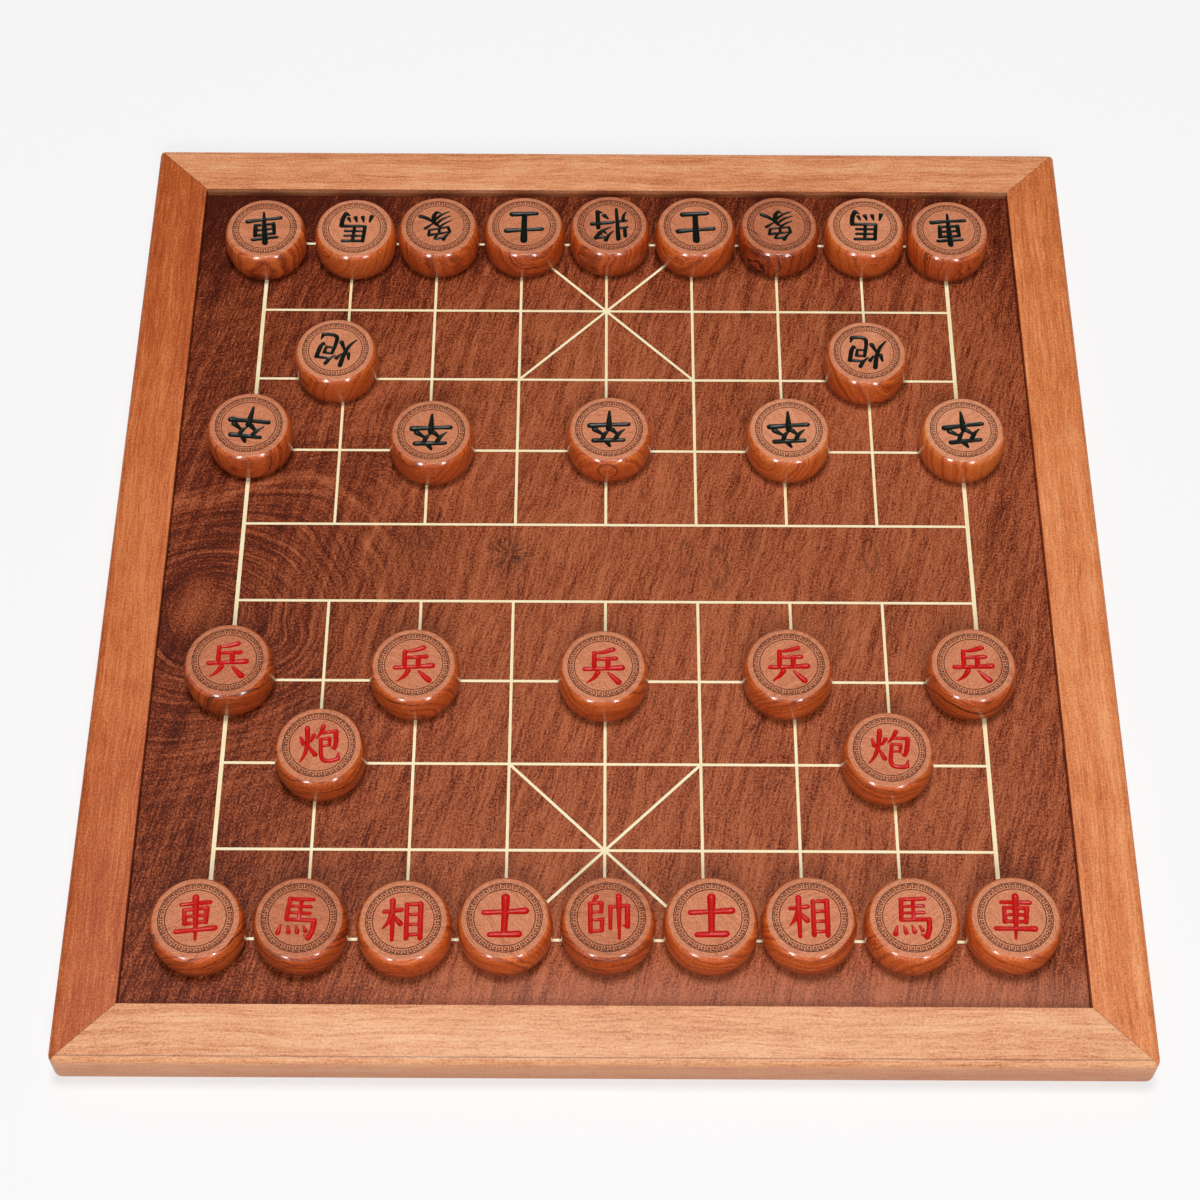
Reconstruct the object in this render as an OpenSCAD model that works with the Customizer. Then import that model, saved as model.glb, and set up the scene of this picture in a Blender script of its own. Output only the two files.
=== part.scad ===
// A board for xiangqi: a veneered panel with an inlaid grid in a mitred frame, and its 32 pieces
// standing in their opening places. The origin lies on the table under the middle of the board.
// X runs along the ranks, Y away from the near player, Z up. Every size is in millimetres.

/* [Grid] */
// Distance from one crossing of the grid to the next
cell = 46; // [40:1:60]
// Clear room between a piece on an outer file and the frame
side_room = 15; // [6:0.5:40]
// Clear room between a piece on a back rank and the frame
end_room = 12.5; // [6:0.5:40]

/* [Inlaid lines] */
// Width of the ranks, the inner files and the palace diagonals
line_w = 1.4; // [0.8:0.1:2.4]
// Width of the two outer files
edge_line_w = 2; // [0.8:0.1:3]
// Depth of the grooves, and thickness of the strips that fill them flush
line_depth = 1; // [0.5:0.1:1.2]

/* [Panel] */
// Thickness of the face veneer, and of the backing veneer that balances it
veneer_t = 1.5; // [1.4:0.1:2.5]
// Thickness of the core between the veneers
core_t = 9; // [7:0.5:10]
// Gap between the panel's edge and the rails
panel_gap = 0.2; // [0.1:0.1:0.8]
// How far the core's tongue reaches into the rails
tongue_l = 6; // [3:0.5:8]
// Thickness of the tongue
tongue_t = 6; // [3:0.5:6.5]
// Glue clearance on each side of the tongue
tongue_fit = 0.1; // [0.05:0.05:0.3]
// Clearance between the tongue's edge and the bottom of its groove
groove_end_gap = 0.5; // [0.2:0.1:1]

/* [Frame] */
// Width of a rail, seen from above
rail_w = 28; // [24:0.5:45]
// Height of a rail
rail_h = 20; // [18:0.5:30]
// How far the frame stands above the playing surface
lip = 5.3; // [3:0.1:7]
// Radius of the soft edge round the playing surface
inner_edge_r = 1.6; // [0.5:0.1:2.5]
// Radius of the frame's outer top edge
top_edge_r = 3; // [1:0.5:5]
// Radius of the frame's outer bottom edge
foot_edge_r = 5; // [1:0.5:6]
// Radius of the frame's four upright corners
corner_r = 3; // [1:0.5:6]

/* [Mitre splines] */
// Length of a spline along the mitre
spline_l = 12; // [8:0.5:13]
// Width of a spline across the mitre
spline_w = 12; // [8:0.5:13]
// Thickness of a spline
spline_t = 3; // [2:0.5:5]
// Wood left between the tongue's groove and a spline
spline_wall = 1.3; // [1:0.1:2]
// Glue clearance round a spline
spline_fit = 0.1; // [0.05:0.05:0.3]

/* [Foot pads] */
// Diameter of a pad
pad_d = 18; // [10:0.5:20]
// Thickness of a pad
pad_t = 2; // [1:0.5:4]
// From the frame's outer faces to the middle of a pad
pad_in = 15; // [15:0.5:16]

/* [Playing pieces] */
// Gap between two pieces on neighbouring crossings
piece_gap = 2; // [1.5:0.1:6]
// One step of the pieces' loose placing by hand, where 0 stands each right on its crossing
hand_step = 0.5; // [0:0.1:0.6]
// Height of a piece
piece_h = 20; // [14:0.5:26]
// How far a piece's side swells from its ends to its middle
piece_swell = 1.5; // [0.8:0.1:3]
// Radius of the shoulder between a piece's side and its flat ends
piece_edge_r = 3; // [1:0.5:4]
// From the edge of the flat face to the outer turned ring
ring_in = 1.1; // [0.8:0.1:3]
// From the outer turned ring to the inner one
ring_band = 3.1; // [2:0.1:4.5]
// Width of a turned ring
ring_w = 0.4; // [0.2:0.1:0.6]
// Depth of a turned ring
ring_depth = 0.3; // [0.2:0.1:0.5]

/* [Hidden] */
// The game's own counts. Files and ranks are numbered from 0 at the near player's left hand
FILES = 9;
RANKS = 10;
LAST_FILE = FILES - 1;
LAST_RANK = RANKS - 1;
NEAR_BANK = RANKS / 2 - 1;
FAR_BANK = RANKS / 2;
// The palaces' middle ranks. A palace reaches one crossing from its middle each way
PALACE_MIDS = [1, LAST_RANK - 1];

// The 32 pieces: name, file, rank, and the steps off its crossing along X and Y
PIECES = [
    ["red_chariot_left", 0, 0, -4, 2],
    ["red_horse_left", 1, 0, -2, 3],
    ["red_elephant_left", 2, 0, 1, 1],
    ["red_advisor_left", 3, 0, 1, 4],
    ["red_general", 4, 0, 3, 5],
    ["red_advisor_right", 5, 0, 5, 5],
    ["red_elephant_right", 6, 0, 3, 6],
    ["red_horse_right", 7, 0, 5, 6],
    ["red_chariot_right", 8, 0, 6, 7],
    ["red_cannon_left", 1, 2, 5, -2],
    ["red_cannon_right", 7, 2, -7, -4],
    ["red_soldier_1", 0, 3, 3, -1],
    ["red_soldier_2", 2, 3, -1, -5],
    ["red_soldier_3", 4, 3, -2, -6],
    ["red_soldier_4", 6, 3, -7, -3],
    ["red_soldier_5", 8, 3, -13, -2],
    ["black_soldier_1", 0, 6, 2, 3],
    ["black_soldier_2", 2, 6, 5, -5],
    ["black_soldier_3", 4, 6, 3, 0],
    ["black_soldier_4", 6, 6, 3, 0],
    ["black_soldier_5", 8, 6, -2, 1],
    ["black_cannon_left", 1, 7, -7, 8],
    ["black_cannon_right", 7, 7, -4, 8],
    ["black_chariot_left", 0, 9, -1, -12],
    ["black_horse_left", 1, 9, 4, -11],
    ["black_elephant_left", 2, 9, 2, -8],
    ["black_advisor_left", 3, 9, 3, -7],
    ["black_general", 4, 9, 3, -5],
    ["black_advisor_right", 5, 9, 4, -6],
    ["black_elephant_right", 6, 9, 2, -5],
    ["black_horse_right", 7, 9, 3, -5],
    ["black_chariot_right", 8, 9, 1, -10]
];

// Plan sizes
piece_r = (cell - piece_gap) / 2;
open_x = LAST_FILE * cell + 2 * (piece_r + side_room);
open_y = LAST_RANK * cell + 2 * (piece_r + end_room);
outer_x = open_x + 2 * rail_w;
outer_y = open_y + 2 * rail_w;
groove_l = tongue_l + groove_end_gap;

// Heights above the table
frame_top = pad_t + rail_h;
panel_top = frame_top - lip;
core_top = panel_top - veneer_t;
core_z = core_top - core_t;
back_z = core_z - veneer_t;
tongue_z = core_z + (core_t - tongue_t) / 2;
spline_z = pad_t + (rail_h - spline_t) / 2;

// A piece's section: the side is one long arc, and round shoulders join it to the flat ends
swell_r = (pow(piece_h / 2, 2) + pow(piece_swell, 2)) / (2 * piece_swell);
edge_up = piece_h / 2 - piece_edge_r;
edge_out = sqrt(pow(swell_r - piece_edge_r, 2) - pow(edge_up, 2));
edge_turn = atan2(edge_up, edge_out);
face_r = piece_r - swell_r + edge_out;
outer_ring_r = face_r - ring_in;
inner_ring_r = outer_ring_r - ring_band;

// From the inner corner, along the mitre, to the near end of a spline
spline_start = (groove_l + spline_wall) * sqrt(2) + spline_w / 2;

// How finely round edges are divided, and how far a cut runs past what it cuts
EDGE_STEPS = 6;
SIDE_STEPS = 10;
OVER = 1;
$fn = 96;

// Colours of the woods and of the pads
FRONT_WOOD = [0.80, 0.52, 0.36];
SIDE_WOOD = [0.66, 0.34, 0.21];
FACE_WOOD = [0.38, 0.18, 0.13];
CORE_WOOD = [0.78, 0.66, 0.48];
LINE_WOOD = [0.93, 0.84, 0.56];
SPLINE_WOOD = [0.72, 0.60, 0.42];
PIECE_WOOD = [0.70, 0.36, 0.22];
PAD_RUBBER = [0.16, 0.15, 0.14];

// Points along an arc about c, from one angle to another
function arc(c, r, from, to, steps = EDGE_STEPS) = [
    for (i = [0:steps]) let (a = from + (to - from) * i / steps) c + r * [cos(a), sin(a)]
];
function file_x(file) = (file - LAST_FILE / 2) * cell;
function rank_y(rank) = (rank - LAST_RANK / 2) * cell;

// A rail's section: x out from the inner face, y up from the underside, with the tongue's groove
module rail_section() {
    low = tongue_z - tongue_fit - pad_t;
    high = low + tongue_t + 2 * tongue_fit;
    polygon(concat(
        [[0, 0]],
        arc([rail_w - foot_edge_r, foot_edge_r], foot_edge_r, -90, 0),
        arc([rail_w - top_edge_r, rail_h - top_edge_r], top_edge_r, 0, 90),
        arc([inner_edge_r, rail_h - inner_edge_r], inner_edge_r, 90, 180),
        [[0, high], [groove_l, high], [groove_l, low], [0, low]]
    ));
}

// The frame's outline from above, with its upright corners rounded
module frame_outline() {
    x = outer_x / 2 - corner_r;
    y = outer_y / 2 - corner_r;
    polygon(concat(
        arc([x, y], corner_r, 0, 90),
        arc([-x, y], corner_r, 90, 180),
        arc([-x, -y], corner_r, 180, 270),
        arc([x, -y], corner_r, 270, 360)
    ));
}

// A rail's plan before it is turned into place, cut at 45 degrees at both ends
module mitred_plan(length, reach) {
    half = length / 2;
    polygon([
        [-half, -reach - rail_w], [half, -reach - rail_w],
        [half - rail_w, -reach], [rail_w - half, -reach]
    ]);
}

// Each corner's spline, with fit as the clearance on every side of it
module corner_splines(fit = 0) {
    for (sx = [-1, 1], sy = [-1, 1])
        translate([sx * open_x / 2, sy * open_y / 2, spline_z - fit])
            rotate([0, 0, atan2(sy, sx)])
                translate([spline_start - fit, -spline_w / 2 - fit, 0])
                    cube([spline_l + 2 * fit, spline_w + 2 * fit, spline_t + 2 * fit]);
}

// One rail: turn is the side of the frame it takes, counted round from the front
module rail(turn, length, reach) {
    difference() {
        intersection() {
            rotate([0, 0, turn])
                translate([0, -reach, pad_t])
                    mirror([0, 1, 0])
                        rotate([90, 0, 90])
                            linear_extrude(length, center = true)
                                rail_section();
            rotate([0, 0, turn])
                translate([0, 0, pad_t - OVER])
                    linear_extrude(rail_h + 2 * OVER)
                        mitred_plan(length, reach);
            translate([0, 0, pad_t - OVER])
                linear_extrude(rail_h + 2 * OVER)
                    frame_outline();
        }
        corner_splines(spline_fit);
    }
}

module front_rail() {
    color(FRONT_WOOD) rail(0, outer_x, open_y / 2);
}

module back_rail() {
    color(FRONT_WOOD) rail(180, outer_x, open_y / 2);
}

module left_rail() {
    color(SIDE_WOOD) rail(270, outer_y, open_x / 2);
}

module right_rail() {
    color(SIDE_WOOD) rail(90, outer_y, open_x / 2);
}

module mitre_splines() {
    color(SPLINE_WOOD) corner_splines();
}

module foot_pads() {
    color(PAD_RUBBER)
        for (sx = [-1, 1], sy = [-1, 1])
            translate([sx * (outer_x / 2 - pad_in), sy * (outer_y / 2 - pad_in), 0])
                cylinder(d = pad_d, h = pad_t);
}

// A sheet of the panel, standing grow past the frame's opening on every side
module sheet(z, thick, grow) {
    translate([-open_x / 2 - grow, -open_y / 2 - grow, z])
        cube([open_x + 2 * grow, open_y + 2 * grow, thick]);
}

module board_core() {
    color(CORE_WOOD)
        union() {
            sheet(core_z, core_t, -panel_gap);
            sheet(tongue_z, tongue_t, tongue_l);
        }
}

module backing_veneer() {
    color(FACE_WOOD) sheet(back_z, veneer_t, -panel_gap);
}

// A straight line of the grid between two crossings, standing over past each of them
module grid_line(from, to, width, over) {
    a = [file_x(from[0]), rank_y(from[1])];
    b = [file_x(to[0]), rank_y(to[1])];
    translate(a)
        rotate(atan2(b[1] - a[1], b[0] - a[0]))
            translate([-over, -width / 2])
                square([norm(b - a) + 2 * over, width]);
}

// The outer files run on through the river
module edge_file_lines() {
    for (f = [0, LAST_FILE])
        grid_line([f, 0], [f, LAST_RANK], edge_line_w, line_w / 2);
}

// The inner files stop at the river's banks
module file_lines() {
    for (f = [1:LAST_FILE - 1]) {
        grid_line([f, 0], [f, NEAR_BANK], line_w, line_w / 2);
        grid_line([f, FAR_BANK], [f, LAST_RANK], line_w, line_w / 2);
    }
}

// The ranks are let in between the files, so each is cut where a file crosses it
module rank_lines() {
    difference() {
        for (r = [0:LAST_RANK])
            grid_line([0, r], [LAST_FILE, r], line_w, 0);
        edge_file_lines();
        file_lines();
    }
}

// Each palace has two diagonals, cut where the files and ranks cross them
module palace_lines() {
    difference() {
        for (mid = PALACE_MIDS, slope = [-1, 1])
            grid_line(
                [LAST_FILE / 2 - 1, mid - slope],
                [LAST_FILE / 2 + 1, mid + slope],
                line_w, 0
            );
        file_lines();
        for (mid = PALACE_MIDS, step = [-1:1])
            grid_line([0, mid + step], [LAST_FILE, mid + step], line_w, 0);
    }
}

// Turns lines of the grid into strips that lie flush with the playing surface
module strips() {
    color(LINE_WOOD)
        translate([0, 0, panel_top - line_depth])
            linear_extrude(line_depth)
                children();
}

module edge_file_inlays() {
    strips() edge_file_lines();
}

module file_inlays() {
    strips() file_lines();
}

module rank_inlays() {
    strips() rank_lines();
}

module palace_inlays() {
    strips() palace_lines();
}

module face_veneer() {
    color(FACE_WOOD)
        difference() {
            sheet(core_top, veneer_t, -panel_gap);
            translate([0, 0, panel_top - line_depth])
                linear_extrude(line_depth + OVER) {
                    edge_file_lines();
                    file_lines();
                    rank_lines();
                    palace_lines();
                }
        }
}

// A turned ring's notch in the top face, from its outer wall to its inner one
function ring_notch(r) = [
    [r + ring_w / 2, piece_h], [r + ring_w / 2, piece_h - ring_depth],
    [r - ring_w / 2, piece_h - ring_depth], [r - ring_w / 2, piece_h]
];

// Half of a piece's section, from the axis outwards
module piece_section() {
    polygon(concat(
        [[0, 0]],
        arc([face_r, piece_edge_r], piece_edge_r, -90, -edge_turn),
        arc([piece_r - swell_r, piece_h / 2], swell_r, -edge_turn, edge_turn, SIDE_STEPS),
        arc([face_r, piece_h - piece_edge_r], piece_edge_r, edge_turn, 90),
        ring_notch(outer_ring_r),
        ring_notch(inner_ring_r),
        [[0, piece_h]]
    ));
}

module playing_piece(p) {
    color(PIECE_WOOD)
        translate([file_x(p[1]) + p[3] * hand_step, rank_y(p[2]) + p[4] * hand_step, panel_top])
            rotate_extrude()
                piece_section();
}

front_rail();
back_rail();
left_rail();
right_rail();
mitre_splines();
foot_pads();
board_core();
backing_veneer();
face_veneer();
edge_file_inlays();
file_inlays();
rank_inlays();
palace_inlays();
for (p = PIECES)
    playing_piece(p);
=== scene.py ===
"""A framed xiangqi board of figured hardwood, with its 32 turned and carved playing pieces.

The board's panel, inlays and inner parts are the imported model's own nodes with procedural woods. The four
rails and the playing pieces are modelled here and stand for their nodes. Everything is in metres, in the
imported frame; the woods count in millimetres.
"""

from __future__ import annotations

import logging
import math
import random
import sys
from collections.abc import Callable, Iterator, Sequence
from contextlib import contextmanager
from dataclasses import dataclass, field
from enum import Enum
from typing import Any, Protocol, Union

import bpy
import numpy as np
from mathutils import Euler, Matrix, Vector

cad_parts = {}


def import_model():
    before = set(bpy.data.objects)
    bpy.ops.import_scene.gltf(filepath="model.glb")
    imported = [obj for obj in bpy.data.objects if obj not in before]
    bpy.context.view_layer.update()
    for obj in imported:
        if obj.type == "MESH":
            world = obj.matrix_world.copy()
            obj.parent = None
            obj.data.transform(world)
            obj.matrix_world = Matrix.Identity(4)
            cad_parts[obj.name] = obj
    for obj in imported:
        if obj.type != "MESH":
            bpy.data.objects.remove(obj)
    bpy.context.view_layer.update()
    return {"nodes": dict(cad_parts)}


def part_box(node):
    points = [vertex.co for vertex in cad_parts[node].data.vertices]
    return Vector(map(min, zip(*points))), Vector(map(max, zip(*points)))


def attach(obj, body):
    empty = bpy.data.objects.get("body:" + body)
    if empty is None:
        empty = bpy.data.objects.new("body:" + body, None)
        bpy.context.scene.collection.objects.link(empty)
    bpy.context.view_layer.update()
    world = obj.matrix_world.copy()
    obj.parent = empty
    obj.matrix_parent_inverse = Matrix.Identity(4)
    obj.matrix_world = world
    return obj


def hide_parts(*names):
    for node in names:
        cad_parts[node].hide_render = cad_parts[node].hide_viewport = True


LOG = logging.getLogger("xiangqi")
MM = 0.001
# A face points upward when the z share of its normal is over this
UPWARD = 0.99

Colour = tuple[float, float, float]
Point = tuple[float, float, float]
Mark = tuple[float, float, float, float]
Number = Union[int, float, "Field"]
Test = Callable[[Vector, Vector], bool]


def srgb(red: int, green: int, blue: int) -> Colour:
    """Turn a colour as the eye reads it, 0 to 255, into linear light.

    Args:
        red: Red share.
        green: Green share.
        blue: Blue share.

    Returns:
        The linear colour.
    """

    def linear(value: int) -> float:
        """Give one share in linear light."""
        share = value / 255
        return share / 12.92 if share <= 0.04045 else ((share + 0.055) / 1.055) ** 2.4

    return linear(red), linear(green), linear(blue)


class Side(Enum):
    """The two players' sides."""

    RED = "red"
    BLACK = "black"


class Edge(Enum):
    """The frame's four rails, with the quarter turns that bring the front rail to each place."""

    FRONT = 0
    RIGHT = 1
    BACK = 2
    LEFT = 3


class Slot(Enum):
    """The material slots of a turned piece's mesh, in order."""

    TOP = 0
    SIDE = 1
    ETCHED = 2
    PAINT = 3


class Field:
    """One varying socket of a material, with Python's own operators for its maths."""

    def __init__(self, shader: Shader, socket: bpy.types.NodeSocket | None) -> None:
        """Wrap a socket of a shader.

        Args:
            shader: The material that it belongs to.
            socket: The socket, if the node has an output.
        """
        self.shader = shader
        self.socket = socket

    def maths(self, operation: str, *others: Number) -> Field:
        """Add a Math node.

        Args:
            operation: The Math node's operation.
            others: Its further inputs.

        Returns:
            The node's value.
        """
        return self.shader.maths(operation, self, *others)

    def __add__(self, other: Number) -> Field:
        """Give self + other."""
        return self.maths("ADD", other)

    __radd__ = __add__

    def __mul__(self, other: Number) -> Field:
        """Give self * other."""
        return self.maths("MULTIPLY", other)

    __rmul__ = __mul__

    def __sub__(self, other: Number) -> Field:
        """Give self - other."""
        return self.maths("SUBTRACT", other)

    def __rsub__(self, other: Number) -> Field:
        """Give other - self."""
        return self.shader.maths("SUBTRACT", other, self)

    def __truediv__(self, other: Number) -> Field:
        """Give self / other."""
        return self.maths("DIVIDE", other)

    def __pow__(self, other: Number) -> Field:
        """Give self ** other."""
        return self.maths("POWER", other)

    def __abs__(self) -> Field:
        """Give the size of self."""
        return self.maths("ABSOLUTE")

    def clamped(self) -> Field:
        """Give self held between 0 and 1."""
        return self.maths("MAXIMUM", 0.0).maths("MINIMUM", 1.0)

    def band(self, low: float, high: float) -> Field:
        """Rise smoothly from 0 to 1.

        Args:
            low: The value up to which the result is 0.
            high: The value from which it is 1. It may be below low.

        Returns:
            The smooth step.
        """
        share = ((self - low) / (high - low)).clamped()
        return share * share * (3.0 - 2.0 * share)

    def fade(self, low: float, high: float) -> Field:
        """Fall smoothly from 1 at low to 0 at high."""
        return 1.0 - self.band(low, high)

    def peak(self, core: float, rim: float) -> Field:
        """Give 1 up to a distance core from 0, falling smoothly to 0 at a distance rim."""
        return abs(self).fade(core, rim)

    def bell(self) -> Field:
        """Give e to the power of minus self."""
        return (self * -1.0).maths("EXPONENT")

    def swing(self, gain: Number) -> Field:
        """Move noise from about 0.5 to about 0, and multiply it."""
        return (self - 0.5) * gain


class Shader:
    """A node material that is built up by expressions."""

    def __init__(self, name: str) -> None:
        """Start an empty node material."""
        self.material = bpy.data.materials.new(name)
        self.material.use_nodes = True
        self.tree = self.material.node_tree
        self.tree.nodes.clear()

    def node(
        self,
        kind: str,
        settings: dict[str, Any] | None = None,
        inputs: dict[int | str, Any] | None = None,
        output: int | str = 0,
    ) -> Field:
        """Add a node.

        Args:
            kind: The node's type.
            settings: Its properties, and "stops" for a ramp.
            inputs: Values or links of its sockets, by name or number.
            output: The socket that is given back.

        Returns:
            The chosen output.
        """
        made = self.tree.nodes.new(kind)
        for key, value in (settings or {}).items():
            if key == "stops":
                self._set_stops(made, value)
            else:
                setattr(made, key, value)
        for key, value in (inputs or {}).items():
            if isinstance(value, Field):
                self.tree.links.new(value.socket, made.inputs[key])
            elif isinstance(value, tuple) and made.inputs[key].type == "RGBA":
                made.inputs[key].default_value = (*value, 1.0)
            else:
                made.inputs[key].default_value = value
        return Field(self, made.outputs[output] if len(made.outputs) else None)

    @staticmethod
    def _set_stops(ramp: bpy.types.Node, stops: Sequence[tuple[float, Colour]]) -> None:
        """Set a colour ramp's stops.

        Args:
            ramp: The ramp's node.
            stops: Each stop's place from 0 to 1 and its colour.
        """
        elements = ramp.color_ramp.elements
        while len(elements) < len(stops):
            elements.new(0.5)
        for element, (place, colour) in zip(elements, stops):
            element.position = place
            element.color = (*colour, 1.0)

    def maths(self, operation: str, *values: Number) -> Field:
        """Add a Math node of one to three inputs."""
        return self.node("ShaderNodeMath", {"operation": operation}, dict(enumerate(values)))

    def place(self) -> tuple[Field, Field, Field]:
        """Give the object's coordinates in millimetres."""
        point = self.node("ShaderNodeTexCoord", output="Object")
        return self.split(self.in_mm(point))

    def attribute(self, name: str, output: str) -> Field:
        """Give an attribute of the mesh."""
        return self.node("ShaderNodeAttribute", {"attribute_name": name}, output=output)

    def in_mm(self, vector: Field) -> Field:
        """Turn a vector in metres into millimetres."""
        return self.node("ShaderNodeVectorMath", {"operation": "SCALE"}, {0: vector, "Scale": 1 / MM})

    def split(self, vector: Field) -> tuple[Field, Field, Field]:
        """Take a vector apart.

        Args:
            vector: The vector.

        Returns:
            Its three shares.
        """
        first = self.node("ShaderNodeSeparateXYZ", inputs={0: vector})
        outputs = first.socket.node.outputs
        return first, Field(self, outputs[1]), Field(self, outputs[2])

    def join(self, x: Number, y: Number, z: Number = 0.0) -> Field:
        """Give the vector of three shares."""
        return self.node("ShaderNodeCombineXYZ", inputs={0: x, 1: y, 2: z})

    def noise(self, vector: Field, scale: float, detail: float = 2.0, rough: float = 0.5) -> Field:
        """Give soft noise.

        Args:
            vector: Where it is read.
            scale: How fine it is.
            detail: Its octaves.
            rough: How strong the finer octaves are.

        Returns:
            The noise, about 0.5.
        """
        inputs = {"Vector": vector, "Scale": scale, "Detail": detail, "Roughness": rough}
        return self.node("ShaderNodeTexNoise", inputs=inputs, output="Fac")

    def grain(self, x: Number, y: Number, z: Number = 0.0, detail: float = 2.0, rough: float = 0.5) -> Field:
        """Give noise of scale 1, at a point whose three shares are stretched to draw it out."""
        return self.noise(self.join(x, y, z), 1.0, detail, rough)

    def ramp(self, factor: Field, stops: Sequence[tuple[float, Colour]]) -> Field:
        """Give a colour by a ramp's stops."""
        return self.node("ShaderNodeValToRGB", {"stops": stops}, {"Fac": factor})

    def mix(self, factor: Number, first: Any, second: Any, kind: str = "MIX") -> Field:
        """Mix two colours.

        Args:
            factor: The share of the second.
            first: A colour or a link.
            second: A colour or a link.
            kind: The way of mixing.

        Returns:
            The mixed colour.
        """
        settings = {"data_type": "RGBA", "blend_type": kind}
        return self.node("ShaderNodeMix", settings, {0: factor, 6: first, 7: second}, output=2)

    def shade(self, colour: Any, factor: Field) -> Field:
        """Give a colour times a number that varies over the surface."""
        return self.mix(1.0, colour, self.join(factor, factor, factor), "MULTIPLY")

    def bump(self, height: Field, distance: float, strength: float) -> Field:
        """Give the normal of a fine relief.

        Args:
            height: The relief, about 0 to 1.
            distance: Its full height in metres.
            strength: How much of it shows.

        Returns:
            The normal.
        """
        inputs = {"Height": height, "Distance": distance, "Strength": strength}
        return self.node("ShaderNodeBump", inputs=inputs, output="Normal")

    def surface(
        self, colour: Any, roughness: Number, normal: Field | None = None, **uniform: float | Colour
    ) -> bpy.types.Material:
        """Finish the material with a Principled surface.

        Args:
            colour: Base colour or a link.
            roughness: Roughness or a link.
            normal: Its normal, if it has relief.
            uniform: Other sockets, by name with underscores, each one value for the whole surface.

        Returns:
            The material.
        """
        inputs: dict[int | str, Any] = {"Base Color": colour, "Roughness": roughness}
        if normal is not None:
            inputs["Normal"] = normal
        for key, value in uniform.items():
            inputs[key.replace("_", " ").title().replace("Ior", "IOR")] = value
        body = self.node("ShaderNodeBsdfPrincipled", inputs=inputs)
        self.node("ShaderNodeOutputMaterial", inputs={"Surface": body})
        return self.material


class Finish(Protocol):
    """Anything that builds its own material."""

    def material(self) -> bpy.types.Material:
        """Build the material."""


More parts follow.
